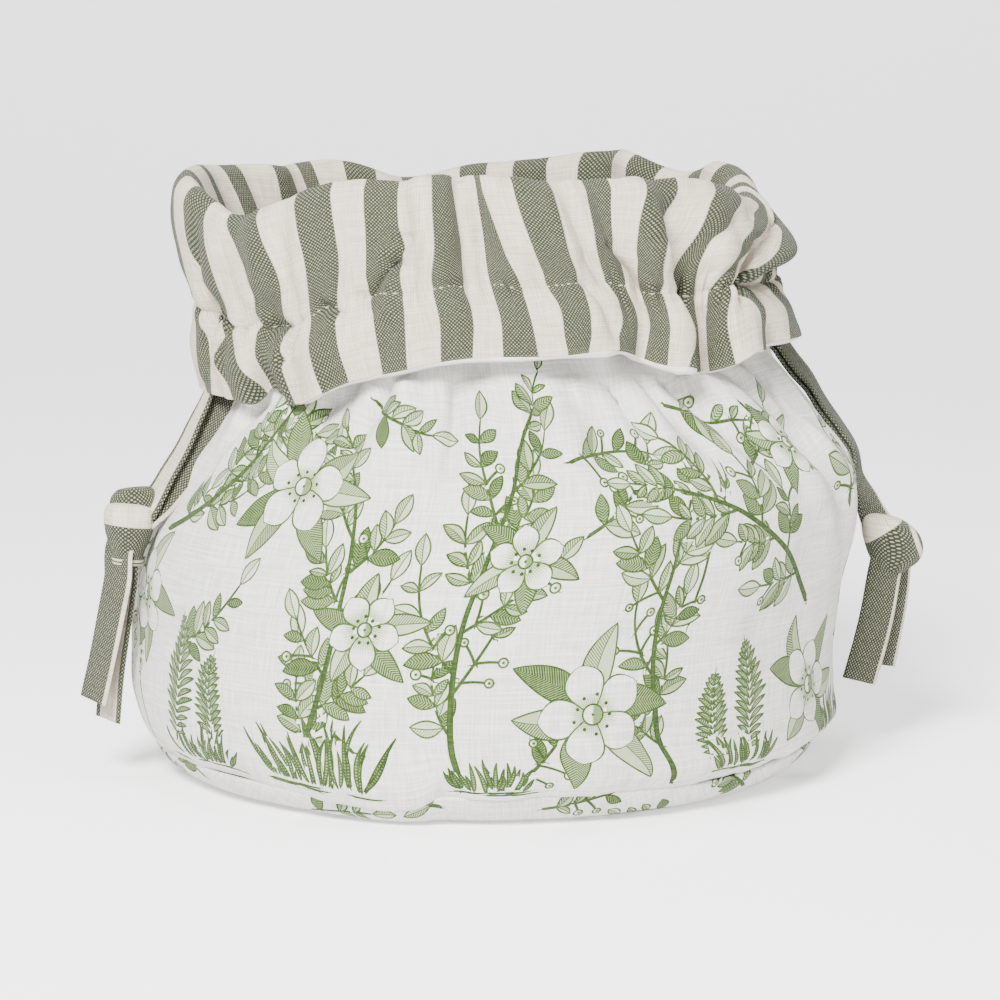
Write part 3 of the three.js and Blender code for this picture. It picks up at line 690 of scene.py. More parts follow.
def clothPlaces(stops):
    # lengths along the cloth from stops of (end, step)
    places = [0.0]
    for end, step in stops:
        count = max(int(round((end - places[-1]) / step)), 1)
        places += list(np.linspace(places[-1], end, count + 1)[1:])
    return np.array(places)


def clothShape(count, stops, frontStripes=None):
    # rings with their angles and codes, finished points, lengths along the cloth
    rows = middleSurface(count, frontStripes)
    knots = ringKnots(rows)
    places = clothPlaces([(knots[-1] + end if end <= 0 else end, step) for end, step in stops])
    fine = smoothRows(rows, knots, places)
    girth = np.arange(count) / count * roundLength
    return fine, addDetail(fine, places, girth), places


def inView(points):
    # where points in mm stand in the view, in pixels across and down
    tilt = math.atan((view["height"] - view["aimHeight"]) / view["distance"])
    x, y, z = (points - np.array([view["x"], -view["distance"], view["height"]]) / mm).transpose(2, 0, 1)
    depth = y * math.cos(tilt) - z * math.sin(tilt)
    up = y * math.sin(tilt) + z * math.cos(tilt)
    zoom = view["pixels"] * view["lens"] / view["sensor"] / depth
    return view["pixels"] / 2 + zoom * x, view["pixels"] / 2 - zoom * up


def seenStripes():
    # angles of the stripes' edges on the cuff, from their places in the view
    fine, points, _ = clothShape(stripeScan["columns"], stripeScan["stops"])
    across, down = inView(points - rowNormals(points) * face)
    rise = cuffRise(fine[:, 0, 4])
    step = 360 / stripeScan["columns"]
    behind = int((180 - stripeScan["side"]) / step)
    rows = []
    for edges in stripeEdges:
        row = []
        for level in stripeLevels:
            at = int(np.argmin(np.abs(rise - level)))
            angle = apart(fine[at, :, 3], 0)
            shown = np.argsort(angle)[behind:-behind]
            for edge in edges:
                line = np.interp(down[at, shown], [spot[0] for spot in edge], [spot[1] for spot in edge])
                gap = across[at, shown] - line
                first = int(np.nonzero(gap > 0)[0][0])
                part = gap[first] / (gap[first] - gap[first - 1])
                row.append(angle[shown[first]] - part * step)
        rows.append(row)
    return leftStripes + rows + rightStripes


frontStripes = seenStripes()


def clothUv(places, count):
    u = np.arange(count + 1) / count * roundLength
    return np.stack(np.broadcast_arrays(u[None, :], np.asarray(places)[:, None]), -1)


# printed motifs, drawn in mm on the flat cloth: leaves, petals, stems and berries
leafKind, petalKind, stemKind, darkKind, berryKind = 1, 2, 3, 4, 5
printArea = {"columns": 560, "edge": 1.15, "empty": -9.0, "layers": ("inkA", "inkB", "inkC", "inkD")}


class InkCloth:
    # layers of (half width, across, along, kind and tone) for each face corner
    def __init__(self, u, v):
        self.u, self.v = u, v
        shape = (len(v) - 1, len(u) - 1, 4, 4)
        self.layers = [np.zeros(shape) for _ in printArea["layers"]]
        for layer in self.layers:
            layer[..., 0] = printArea["empty"]

    def block(self, low, high):
        i0, i1 = np.searchsorted(self.u, [low[0] - 1.5, high[0] + 1.5])
        j0, j1 = np.searchsorted(self.v, [low[1] - 1.5, high[1] + 1.5])
        i0, j0 = max(i0 - 1, 0), max(j0 - 1, 0)
        i1, j1 = min(i1 + 1, len(self.u)), min(j1 + 1, len(self.v))
        if i1 - i0 < 2 or j1 - j0 < 2:
            return None
        return i0, i1, j0, j1

    def put(self, low, high, shape, kind, tone):
        # shape(x, y) gives half width, across, along and distance inside the edge at the grid's points
        for turn in (-roundLength, 0, roundLength):
            spot = self.block((low[0] + turn, low[1]), (high[0] + turn, high[1]))
            if spot is None:
                continue
            i0, i1, j0, j1 = spot
            x, y = np.meshgrid(self.u[i0:i1] - turn, self.v[j0:j1])
            half, across, along, edge = shape(x, y)
            code = np.full_like(half, kind + min(max(tone, 0.02), 0.95))
            values = np.stack([half, across, along, code], -1)
            corners = np.stack([values[:-1, :-1], values[:-1, 1:], values[1:, :-1], values[1:, 1:]], 2)
            closest = np.stack([edge[:-1, :-1], edge[:-1, 1:], edge[1:, :-1], edge[1:, 1:]], 2).max(axis=2)
            near = closest > -printArea["edge"]
            window = (slice(j0, j1 - 1), slice(i0, i1 - 1))
            stack = [layer[window] for layer in self.layers]
            for lower, upper in zip(stack[:0:-1], stack[-2::-1]):
                lower[near] = upper[near]
            stack[0][near] = corners[near]

    def leaf(self, x0, y0, angle, length, half, bend, kind, tone, tip=1.0):
        turn = math.radians(angle)
        along = (math.cos(turn), math.sin(turn))

        def shape(x, y):
            s = (x - x0) * along[0] + (y - y0) * along[1]
            t = -(x - x0) * along[1] + (y - y0) * along[0]
            q = np.clip(s / length, 0, 1)
            t = t - bend * length * 4 * q * (1 - q) * 0.25
            width = half * np.sin(math.pi * q ** tip) ** (0.85 if kind != petalKind else 0.6)
            beyond = (s < 0) | (s > length)
            size = np.where(beyond, -np.abs(s - q * length), width)
            edge = np.where(beyond, -np.hypot(s - q * length, t), width - np.abs(t))
            return size, t, s, edge

        reach = length + half
        self.put((x0 - reach, y0 - reach), (x0 + reach, y0 + reach), shape, kind, tone)

    def stem(self, points, thick, thin, tone):
        points = np.array(points)
        low, high = points.min(axis=0) - thick, points.max(axis=0) + thick
        steps = np.hypot(*np.diff(points, axis=0).T)
        starts = np.concatenate([[0], np.cumsum(steps)])

        def shape(x, y):
            best = np.full_like(x, 1e3)
            along = np.zeros_like(x)
            side = np.zeros_like(x)
            for k in range(len(points) - 1):
                (ax, ay), (bx, by) = points[k], points[k + 1]
                away, share = lineDistance(x, y, ax, ay, bx, by)
                closer = away < best
                best = np.where(closer, away, best)
                along = np.where(closer, starts[k] + share * steps[k], along)
                sign = (bx - ax) * (y - ay) - (by - ay) * (x - ax)
                side = np.where(closer, np.sign(sign) * away, side)
            half = thick + (thin - thick) * along / starts[-1]
            return half, side, along, half - best

        self.put(tuple(low), tuple(high), shape, stemKind, tone)

    def berry(self, x0, y0, size, tone):
        def shape(x, y):
            return np.full_like(x, size), x - x0, y - y0, size - np.hypot(x - x0, y - y0)
        self.put((x0 - size, y0 - size), (x0 + size, y0 + size), shape, berryKind, tone)


def arc(x0, y0, angle, length, bend, count=14):
    # points of a curved stem that turns by bend degrees along its length, with the heading at each
    points, heading = [(x0, y0)], angle
    step = length / count
    headings = [angle]
    for _ in range(count):
        heading += bend / count
        x0 += step * math.cos(math.radians(heading))
        y0 += step * math.sin(math.radians(heading))
        points.append((x0, y0))
        headings.append(heading)
    return points, headings


def spray(ink, rng, x0, y0, angle, length, bend, leaf, pairs, thick=0.5, dark=0.4, buds=0.0):
    # an arching twig with leaves on both sides and one at its tip
    points, headings = arc(x0, y0, angle, length, bend)
    ink.stem(points, thick, thick * 0.45, tone=0.7)
    for k in range(pairs):
        share = 0.16 + 0.8 * k / pairs
        index = min(int(share * (len(points) - 1)), len(points) - 1)
        (x, y), heading = points[index], headings[index]
        for side in (-1, 1):
            if rng.random() < 0.16:
                continue
            size = leaf * rng.uniform(0.72, 1.12) * (1.1 - 0.35 * share)
            turn = heading + side * rng.uniform(38, 62)
            if rng.random() < buds:
                stalk, _ = arc(x, y, turn, size * 0.8, side * 20, 4)
                ink.stem(stalk, 0.3, 0.24, tone=0.6)
                ink.berry(stalk[-1][0], stalk[-1][1], rng.uniform(1.3, 1.9), rng.uniform(0.2, 0.5))
                continue
            kind = darkKind if rng.random() < dark else leafKind
            ink.leaf(x, y, turn, size, size * rng.uniform(0.2, 0.27), side * rng.uniform(-0.4, 0.3), kind,
                     rng.uniform(0.3, 0.95))
    (x, y), heading = points[-1], headings[-1]
    ink.leaf(x, y, heading, leaf * 0.95, leaf * 0.23, 0.1, leafKind, rng.uniform(0.2, 0.6))


def branch(ink, rng, x0, y0, angle, length, bend, twigs, leaf):
    points, headings = arc(x0, y0, angle, length, bend, 18)
    side = 1
    for k in range(twigs):
        share = 0.14 + 0.78 * (k + 0.5) / twigs
        index = int(share * (len(points) - 1))
        (x, y), heading = points[index], headings[index]
        spray(ink, rng, x, y, heading + side * rng.uniform(34, 58), length * rng.uniform(0.2, 0.34),
              -side * rng.uniform(10, 50), leaf, rng.randint(3, 5), 0.4, 0.45, 0.12)
        side = -side
    ink.stem(points, 1.0, 0.4, tone=0.85)
    (x, y), heading = points[-1], headings[-1]
    spray(ink, rng, x, y, heading, length * 0.22, bend * 0.3, leaf * 0.85, 4, 0.4)


def blossom(ink, rng, x0, y0, size, turn, leaves):
    petals, tone = 5, 0.35
    for k in range(leaves):
        angle = turn + 36 + 360 * k / leaves + rng.uniform(-18, 18)
        ink.leaf(x0, y0, angle, size * rng.uniform(1.5, 1.85), size * 0.3, rng.uniform(-0.5, 0.5),
                 darkKind if k % 2 else leafKind, rng.uniform(0.4, 0.8))
    order = [k for k in range(petals) if k % 2 == 0] + [k for k in range(petals) if k % 2]
    for k in order:
        angle = turn + 360 * k / petals + rng.uniform(-5, 5)
        ink.leaf(x0, y0, angle, size * rng.uniform(0.94, 1.08), size * (1.9 / petals), 0.0, petalKind,
                 tone * rng.uniform(0.7, 1.3), 1.5)
    ink.berry(x0, y0, size * 0.2, 0.75)
    for k in range(9):
        angle = math.radians(turn + 40 * k)
        far = size * rng.uniform(0.3, 0.4)
        ink.berry(x0 + far * math.cos(angle), y0 + far * math.sin(angle), 0.42, 0.9)


def tuft(ink, rng, x0, y0, width, height, blades):
    for k in range(blades):
        x = x0 + width * (rng.random() - 0.5)
        lean = (x - x0) / width * 60 + rng.uniform(-14, 14)
        size = height * rng.uniform(0.45, 1.0)
        ink.leaf(x, y0 + rng.uniform(-1, 1), 90 - lean, size, 0.75, rng.uniform(-0.5, 0.5), darkKind,
                 rng.uniform(0.4, 0.9), 0.7)
    for k in range(6):
        x = x0 + width * rng.uniform(-0.75, 0.4)
        y = y0 - 1 + rng.uniform(-1.6, 0.4)
        ink.stem([(x, y), (x + width * rng.uniform(0.18, 0.4), y + rng.uniform(-0.5, 0.5))], 0.3, 0.15, 0.5)


def fern(ink, rng, x0, y0, angle, length, bend, size):
    points, headings = arc(x0, y0, angle, length, bend, 16)
    ink.stem(points, 0.42, 0.2, tone=0.75)
    for k in range(1, 16):
        share = k / 16
        frond = size * math.sin(math.pi * (0.12 + 0.86 * share)) ** 0.8
        for side in (-1, 1):
            ink.leaf(*points[k], headings[k] + side * (64 - 24 * share), frond * rng.uniform(0.85, 1.05),
                     0.95, -side * 0.35, darkKind if rng.random() < 0.35 else leafKind, rng.uniform(0.3, 0.7))


def wheatEar(ink, rng, x0, y0, angle, length, bend):
    points, headings = arc(x0, y0, angle, length, bend, 12)
    ink.stem(points, 0.38, 0.28, tone=0.6)
    for k in range(7, 13):
        for side in (-1, 1):
            x, y = points[k]
            ink.leaf(x, y, headings[k] + side * 24, 4.6, 1.0, 0.0, leafKind, rng.uniform(0.3, 0.7))
            hair, _ = arc(x, y, headings[k] + side * 18, 10, -side * 12, 3)
            ink.stem(hair, 0.17, 0.1, 0.5)


# motifs: kind, angle round the bag, mm of cloth above the base seam, then their own sizes
# branch: heading, length, bend, twigs, leaf; spray: heading, length, bend, leaf, pairs of leaves
# blossom: radius, turn, leaves; fern: heading, length, bend, frond; wheat: heading, length, bend
# tuft: width, height, blades
motifs = [
    ("branch", -31, 6, 60, 104, 46, 7, 12), ("branch", 31, 4, 112, 92, -34, 6, 12),
    ("branch", -4, 5, 97, 124, -26, 8, 11.5), ("branch", -68, 84, 18, 70, 50, 6, 12),
    ("branch", 60, 62, 130, 84, 34, 6, 12), ("branch", 84, 24, 74, 92, 30, 6, 12),
    ("spray", 10, 118, 20, 34, -30, 12, 5), ("spray", -20, 20, 146, 42, -46, 13, 6),
    ("spray", 12, 92, 30, 44, 34, 12.5, 6), ("spray", 44, 112, 16, 40, 36, 12.5, 5),
    ("spray", -46, 134, -16, 40, -26, 12, 6), ("spray", -26, 140, -40, 30, 30, 11.5, 5),
    ("spray", -84, 30, 72, 54, 26, 13, 6), ("spray", 4, 6, 34, 44, 40, 12, 6),
    ("spray", 34, 138, -30, 36, 24, 12, 5), ("spray", 50, 134, -64, 34, 40, 12, 5),
    ("blossom", -37, 106, 17, 12, 7), ("blossom", 17, 32, 18, 40, 6), ("blossom", 64, 30, 16, 70, 6),
    ("blossom", -72, 60, 15, 20, 6), ("blossom", 56, 118, 12, 0, 5), ("blossom", -19, 60, 12.5, 55, 5),
    ("blossom", 3, 84, 12, 25, 5), ("fern", -58, 12, 66, 46, 34, 11), ("fern", -47, 8, 104, 38, -30, 10),
    ("fern", 46, 10, 78, 42, 30, 10.5), ("fern", 40, 8, 108, 34, -24, 9),
    ("wheat", 28, 62, 70, 44, 22), ("wheat", 32, 60, 88, 46, -16),
    ("wheat", -70, 8, 96, 40, 20), ("wheat", -74, 6, 112, 38, 18),
    ("tuft", -26, 7, 34, 24, 42), ("tuft", 77, 8, 30, 22, 34), ("tuft", 45, 6, 26, 15, 30),
    ("tuft", -52, 5, 30, 17, 34), ("tuft", 1, 4, 22, 13, 26),
    ("spray", 74, 92, 100, 36, -40, 12, 5), ("spray", -56, 46, 20, 38, 40, 12, 5),
]


# the order in which the kinds are drawn, the later on top
motifKinds = {"spray": (0, spray), "fern": (1, fern), "wheat": (1, wheatEar), "branch": (2, branch),
              "tuft": (3, tuft), "blossom": (4, blossom)}


baseTwigs = {"count": 17, "radius": 112, "headings": [8, 172, 20, 150], "lengths": (18, 34),
             "bends": (-24, 24), "leaf": 9.5, "pairs": 4, "dark": 0.3, "buds": 0.1}


def drawBaseMotifs(ink, seed):
    # twigs on the turned-up edge of the base, in mm from its middle
    rng = random.Random(seed)
    twigs = baseTwigs
    for k in range(twigs["count"]):
        x = (k + rng.uniform(0.1, 0.7)) * roundLength / twigs["count"]
        y = twigs["radius"] + rng.uniform(-4, 6)
        heading, length, bend = (rng.choice(twigs["headings"]), rng.uniform(*twigs["lengths"]),
                                 rng.uniform(*twigs["bends"]))
        spray(ink, rng, x, y, heading, length, bend, twigs["leaf"], twigs["pairs"], dark=twigs["dark"],
              buds=twigs["buds"])


def drawMotifs(ink, seed):
    rng = random.Random(seed)
    step = roundLength / 360
    # the back of the bag repeats the front's motifs, half a turn on and moved up or down
    behind = [(row[0], row[1] + 180, row[2] * 0.9 + 4) + row[3:] for row in motifs if abs(row[1]) < 84]
    for kind, angle, y, *sizes in sorted(motifs + behind, key=lambda row: motifKinds[row[0]][0]):
        more = {"buds": 0.2} if kind == "spray" else {}
        motifKinds[kind][1](ink, rng, (angle - bodyStart) * step, y, *sizes, **more)


# materials
def srgb(red, green, blue):
    def linear(c):
        c /= 255
        return c / 12.92 if c <= 0.04045 else ((c + 0.055) / 1.055) ** 2.4
    return (linear(red), linear(green), linear(blue), 1.0)


def link(tree, source, target):
    tree.links.new(source, target)


def feed(tree, part, socket):
    # part is another node's socket or a plain value
    if hasattr(part, "is_linked"):
        link(tree, part, socket)
    else:
        socket.default_value = part


def calc(tree, operation, *parts, clamp=False):
    one = tree.nodes.new("ShaderNodeMath")
    one.operation = operation
    one.use_clamp = clamp
    for k, part in enumerate(parts):
        feed(tree, part, one.inputs[k])
    return one.outputs[0]


def times(tree, first, second, clamp=False):
    return calc(tree, "MULTIPLY", first, second, clamp=clamp)


def plus(tree, first, second, clamp=False):
    return calc(tree, "ADD", first, second, clamp=clamp)


def minus(tree, first, second):
    return calc(tree, "SUBTRACT", first, second)


def chain(tree, operation, parts):
    # one operation over all the parts, or plain 0 where there is none
    total = parts[0] if parts else 0.0
    for part in parts[1:]:
        total = calc(tree, operation, total, part)
    return total


def blend(tree, share, first, second, mode="MIX"):
    one = tree.nodes.new("ShaderNodeMix")
    one.data_type = "RGBA"
    one.blend_type = mode
    for socket, part in ((one.inputs["Factor"], share), (one.inputs[6], first), (one.inputs[7], second)):
        feed(tree, part, socket)
    return one.outputs[2]


def steps(tree, value, low, high, fromTo=(0.0, 1.0)):
    one = tree.nodes.new("ShaderNodeMapRange")
    one.interpolation_type = "SMOOTHSTEP"
    link(tree, value, one.inputs["Value"])
    for label, part in zip(("From Min", "From Max", "To Min", "To Max"), (low, high, *fromTo)):
        one.inputs[label].default_value = part
    return one.outputs["Result"]


def between(tree, value, low, high, soft):
    # 1 from low to high, with soft ends
    rising = steps(tree, value, low - soft, low + soft)
    return times(tree, rising, steps(tree, value, high - soft, high + soft, (1.0, 0.0)))


def noise(tree, place, scale, detailLevel):
    one = tree.nodes.new("ShaderNodeTexNoise")
    one.inputs["Scale"].default_value = scale
    one.inputs["Detail"].default_value = detailLevel
    link(tree, place, one.inputs["Vector"])
    return one.outputs["Fac"]


def stretched(tree, place, factors):
    one = tree.nodes.new("ShaderNodeVectorMath")
    one.operation = "MULTIPLY"
    one.inputs[1].default_value = factors
    link(tree, place, one.inputs[0])
    return one.outputs[0]


def splitParts(tree, kind, source):
    # the three parts of a place or a colour
    one = tree.nodes.new(kind)
    link(tree, source, one.inputs[0])
    return one.outputs


def newGroup(name, inputs, outputs):
    group = bpy.data.node_groups.new(name, "ShaderNodeTree")
    for label, kind, default in inputs:
        socket = group.interface.new_socket(name=label, in_out="INPUT", socket_type=kind)
        if default is not None:
            socket.default_value = default
    for label in outputs:
        group.interface.new_socket(name=label, in_out="OUTPUT", socket_type="NodeSocketFloat")
    return group, group.nodes.new("NodeGroupInput"), group.nodes.new("NodeGroupOutput")


def threadGroup():
    # plain weave on a flat map in mm: the threads' height, where the weft lies on top, thick yarns, streaks
    group, given, result = newGroup(
        "plainWeave",
        [("Map", "NodeSocketVector", None), ("Warp Pitch", "NodeSocketFloat", 0.5),
         ("Weft Pitch", "NodeSocketFloat", 0.5), ("Wobble", "NodeSocketFloat", 0.1)],
        ["Height", "Weft", "Slub", "Streak"])
    clothMap = given.outputs["Map"]
    spot = splitParts(group, "ShaderNodeSeparateXYZ", clothMap)
    shift = times(group, minus(group, noise(group, clothMap, 0.35, 2), 0.5), given.outputs["Wobble"])
    waves = []
    for axis, pitch in (("X", "Warp Pitch"), ("Y", "Weft Pitch")):
        place = plus(group, spot[axis], shift)
        turn = times(group, calc(group, "DIVIDE", place, given.outputs[pitch]), math.pi)
        waves.append(calc(group, "SINE", turn))
    cross = times(group, *waves)
    link(group, calc(group, "POWER", calc(group, "ABSOLUTE", cross), 0.5), result.inputs["Height"])
    uneven = steps(group, noise(group, clothMap, 0.9, 1), 0.3, 0.7, (0.5, 1.15))
    link(group, times(group, steps(group, cross, 0.05, 0.6), uneven), result.inputs["Weft"])
    slubs = noise(group, stretched(group, clothMap, (0.045, 1.15, 1)), 1.0, 3)
    link(group, steps(group, slubs, 0.6, 0.74), result.inputs["Slub"])
    warps = noise(group, stretched(group, clothMap, (1.25, 0.08, 1)), 1.0, 2)
    link(group, steps(group, plus(group, slubs, warps), 0.72, 1.28), result.inputs["Streak"])
    return group


def inkGroup():
    # one layer of the print: outline, midrib, hatching and fill over the ink below it
    group, given, result = newGroup(
        "inkLayer",
        [("Shape", "NodeSocketColor", (-9, 0, 0, 1)), ("Code", "NodeSocketFloat", 0.0),
         ("Below", "NodeSocketFloat", 0.0), ("Line", "NodeSocketFloat", 0.27)],
        ["Ink"])
    half, across, reach = splitParts(group, "ShaderNodeSeparateColor", given.outputs["Shape"])
    kind = calc(group, "FLOOR", given.outputs["Code"])
    tone = calc(group, "FRACT", given.outputs["Code"])
    isBerry = calc(group, "COMPARE", kind, float(berryKind), 0.3)
    notBerry = minus(group, 1.0, isBerry)
    side = calc(group, "ABSOLUTE", across)
    square = plus(group, times(group, across, across), times(group, reach, reach))
    away = times(group, calc(group, "SQRT", square), isBerry)
    along = plus(group, times(group, reach, notBerry), away)
    edge = minus(group, half, plus(group, times(group, side, notBerry), away))
    inside = steps(group, edge, -0.12, 0.12)
    rim = calc(group, "ABSOLUTE", minus(group, edge, 0.12))
    outline = steps(group, minus(group, rim, given.outputs["Line"]), -0.08, 0.16, (1.0, 0.0))
    inks = inkKinds(group, across, side, along, tone, inside)
    parts = [times(group, calc(group, "COMPARE", kind, float(which), 0.3), ink) for which, ink in inks]
    fill = times(group, chain(group, "ADD", parts), inside, clamp=True)
    drawn = calc(group, "GREATER_THAN", kind, 0.5)
    lineInk = times(group, outline, plus(group, times(group, tone, 0.25), 0.78))
    own = calc(group, "MAXIMUM", fill, times(group, lineInk, drawn))
    uncovered = minus(group, 1.0, times(group, drawn, inside))
    rest = times(group, given.outputs["Below"], uncovered)
    link(group, calc(group, "MAXIMUM", own, rest), result.inputs["Ink"])
    return group


def inkKinds(group, across, side, along, tone, inside):
    # how dark each kind of motif is printed inside its outline
    vein = times(group, steps(group, side, 0.1, 0.3, (1.0, 0.0)), inside)
    slant = minus(group, along, times(group, side, 0.8))
    hatch = calc(group, "SINE", times(group, slant, 6.4))
    shaded = steps(group, across, -0.4, 0.7)
    hatched = times(group, steps(group, hatch, -0.4, 0.6), shaded)
    leafTone = plus(group, times(group, hatched, times(group, tone, 0.95)), times(group, tone, 0.3))
    leafInk = calc(group, "MAXIMUM", times(group, vein, 0.8), leafTone)
    fan = calc(group, "DIVIDE", across, plus(group, along, 2.0))
    ray = calc(group, "SINE", times(group, fan, 62.0))
    nearBase = steps(group, along, 1.0, 9.0, (1.0, 0.0))
    rays = times(group, steps(group, ray, 0.2, 0.9), times(group, nearBase, 0.75))
    petalInk = plus(group, rays, times(group, nearBase, times(group, tone, 0.5)))
    stemInk = plus(group, times(group, tone, 0.6), 0.4)
    darkInk = plus(group, times(group, tone, 0.5), times(group, steps(group, hatch, -0.9, 0.5), 0.6))
    eye = times(group, steps(group, along, 0.35, 0.6, (1.0, 0.0)), 0.8)
    berryInk = plus(group, eye, times(group, tone, times(group, shaded, 0.6)))
    return [(leafKind, leafInk), (petalKind, petalInk), (stemKind, stemInk), (darkKind, darkInk),
            (berryKind, berryInk)]


# paperLow is the printed cloth in the weave's low points between the threads: painted shade there
clothLook = {
    "paper": srgb(219, 218, 212), "paperLow": srgb(166, 164, 155), "slub": srgb(228, 227, 222),
    "ink": (0.045, 0.092, 0.014), "green": (0.02, 0.023, 0.011, 1), "greenTop": (0.25, 0.262, 0.185, 1),
    # creamLow is the cream cloth in the weave's low points between the threads: painted shade there
    "cream": srgb(203, 193, 177), "creamLow": srgb(146, 134, 114), "thread": srgb(166, 163, 143),
    "tieGreen": (0.02, 0.022, 0.011, 1), "tieTop": (0.26, 0.27, 0.2, 1), "roughness": 0.92, "sheen": 0.04,
}
# height of the relief and distance from thread to thread, in mm
weaves = {
    "striped": {"bump": 0.24, "warp": 0.86, "weft": 0.7},
    "printed": {"bump": 0.26, "warp": 0.5, "weft": 0.48},
    "tie": {"bump": 0.2, "warp": 0.56, "weft": 0.72},
    "thread": {"bump": 0.02, "warp": 0.35, "weft": 0.35},
}


def useGroup(tree, group, values):
    one = tree.nodes.new("ShaderNodeGroup")
    one.node_tree = group
    for label, part in values.items():
        feed(tree, part, one.inputs[label])
    return one.outputs


def clothMaterial(name, weave, build, look):
    # build(tree, spot, threads) gives the colour; spot is the cloth map's parts, threads the weave's outputs
    material = bpy.data.materials.new(name)
    material.use_nodes = True
    tree = material.node_tree
    shader = tree.nodes["Principled BSDF"]
    shader.inputs["Roughness"].default_value = clothLook["roughness"]
    shader.inputs["Specular IOR Level"].default_value = 0.2
    shader.inputs["Sheen Weight"].default_value = clothLook["sheen"]
    shader.inputs["Sheen Roughness"].default_value = 0.6
    uv = tree.nodes.new("ShaderNodeUVMap")
    uv.uv_map = "clothMap"
    threads = useGroup(tree, weave, {"Map": uv.outputs["UV"], "Warp Pitch": look["warp"],
                                     "Weft Pitch": look["weft"], "Wobble": 0.12})
    spot = splitParts(tree, "ShaderNodeSeparateXYZ", uv.outputs["UV"])
    feed(tree, build(tree, spot, threads), shader.inputs["Base Color"])
    relief = tree.nodes.new("ShaderNodeBump")
    relief.inputs["Strength"].default_value = 0.55
    relief.inputs["Distance"].default_value = look["bump"] * mm
    height = plus(tree, threads["Height"], times(tree, threads["Slub"], 0.6))
    link(tree, height, relief.inputs["Height"])
    link(tree, relief.outputs["Normal"], shader.inputs["Normal"])
    return material


def printColour(layer):
    def build(tree, spot, threads):
        ink = 0.0
        for label in reversed(printArea["layers"]):
            data = tree.nodes.new("ShaderNodeAttribute")
            data.attribute_name = label
            ink = useGroup(tree, layer, {"Shape": data.outputs["Color"], "Code": data.outputs["Alpha"],
                                         "Below": ink})["Ink"]
        # the cloth darkens to paperLow in the weave's low points, painted shade between the threads, and
        # lightens along the streaks, which are the cloth's own tone
        streaks = times(tree, threads["Streak"], 0.5)
        level = plus(tree, times(tree, threads["Height"], 0.55), streaks, clamp=True)
        cloth = blend(tree, level, clothLook["paperLow"], clothLook["paper"])
        cloth = blend(tree, times(tree, threads["Slub"], 0.4), cloth, clothLook["slub"])
        density = times(tree, ink, plus(tree, level, 0.5))
        dyed = tree.nodes.new("ShaderNodeCombineColor")
        for k, passed in enumerate(clothLook["ink"]):
            link(tree, calc(tree, "POWER", passed, density), dyed.inputs[k])
        return blend(tree, 1.0, cloth, dyed.outputs[0], "MULTIPLY")
    return build


def stripeColour(tree, spot, threads):
    place = calc(tree, "FRACT", calc(tree, "DIVIDE", spot["X"], pairLength))
    middle = calc(tree, "ABSOLUTE", minus(tree, place, 0.25))
    wrapped = calc(tree, "MINIMUM", middle, minus(tree, 1.0, middle))
    cream = steps(tree, wrapped, 0.24, 0.26)
    return twoCloths(tree, threads, cream, clothLook["green"], clothLook["greenTop"])


def twoCloths(tree, threads, cream, low, top):
    # dyed stripes with pale weft on top, and plain cream ones
    # the cream darkens to creamLow and the pale weft fades towards the weave's low points: painted shade
    # between the threads; the streaks are the cloth's own tone
    weft = times(tree, threads["Weft"], plus(tree, times(tree, threads["Height"], 0.5), 0.4))
    green = blend(tree, weft, low, top)
    streaks = times(tree, threads["Streak"], 0.45)
    level = plus(tree, times(tree, threads["Height"], 0.6), streaks, clamp=True)
    pale = blend(tree, level, clothLook["creamLow"], clothLook["cream"])
    return blend(tree, cream, green, pale)


# the two cloths; stops are lengths of cloth in mm and the step between rows up to each
panel = {
    "stops": [(150, 1.43), (-66, 3.6), (-3.0, 2.0), (0, 1.0)], "seed": 23,
    "hiddenFrom": 158, "hiddenOver": 14, "standOff": 1.2,  # under the cuff it stands further out
    "peekBack": 0.9, "rollInside": 0.25, "rollRows": 9, "rollMap": (0.6, 5.0),
    "tuckReach": 0.2, "tuckFrom": -0.4, "tuckRows": 6, "tuckMap": (-3.0, -0.4),
}


def printedPanel(material):
    count = printArea["columns"]
    fine, points, places = clothShape(count, panel["stops"], frontStripes)
    normals = rowNormals(points)
    hidden = ease((places - panel["hiddenFrom"]) / panel["hiddenOver"])
    out = points + normals * (face + panel["standOff"] * hidden)[:, None, None]
    peek = heightAt(peeks, fine[-1, :, 3]) - panel["peekBack"]
    roll = hemRoll(points, normals, peek, face + panel["standOff"], -face + panel["rollInside"],
                   panel["rollRows"])
    tuck = hemRoll(points[::-1], normals[::-1], np.full(count, panel["tuckReach"]), panel["tuckFrom"], face,
                   panel["tuckRows"])[:-2]
    out = np.concatenate([np.array(tuck), out[1:], np.array(roll)])
    before = np.linspace(*panel["tuckMap"], len(tuck))
    after = places[-1] + np.linspace(*panel["rollMap"], len(roll))
    heights = np.concatenate([before, places[1:], after])
    uvs = clothUv(heights, count)
    ink = InkCloth(uvs[0, :, 0], heights)
    drawMotifs(ink, panel["seed"])
    piece = closedGrid("printedPanel", out, uvs, ink.layers)
    piece.data.materials.append(material)
    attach(piece, "root")
    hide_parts("side_panel")
    return piece


lining = {"columns": 628, "stops": [(138, 4.6), (160, 2.2), (0, 1.25)], "rollInside": -0.2, "rollRows": 7,
          "rollMap": (0.3, 3.6)}


def stripedLining(material):
    count = lining["columns"]
    _, points, places = clothShape(count, lining["stops"], frontStripes)
    normals = rowNormals(points)
    roll = hemRoll(points, normals, np.zeros(count), -face, lining["rollInside"], lining["rollRows"])
    out = np.concatenate([points - normals * face, np.array(roll)])
    heights = np.concatenate([places, places[-1] + np.linspace(*lining["rollMap"], len(roll))])
    piece = closedGrid("stripedLining", out, clothUv(heights, count), flip=True)
    piece.data.materials.append(material)
    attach(piece, "root")
    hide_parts("lining")
    return piece


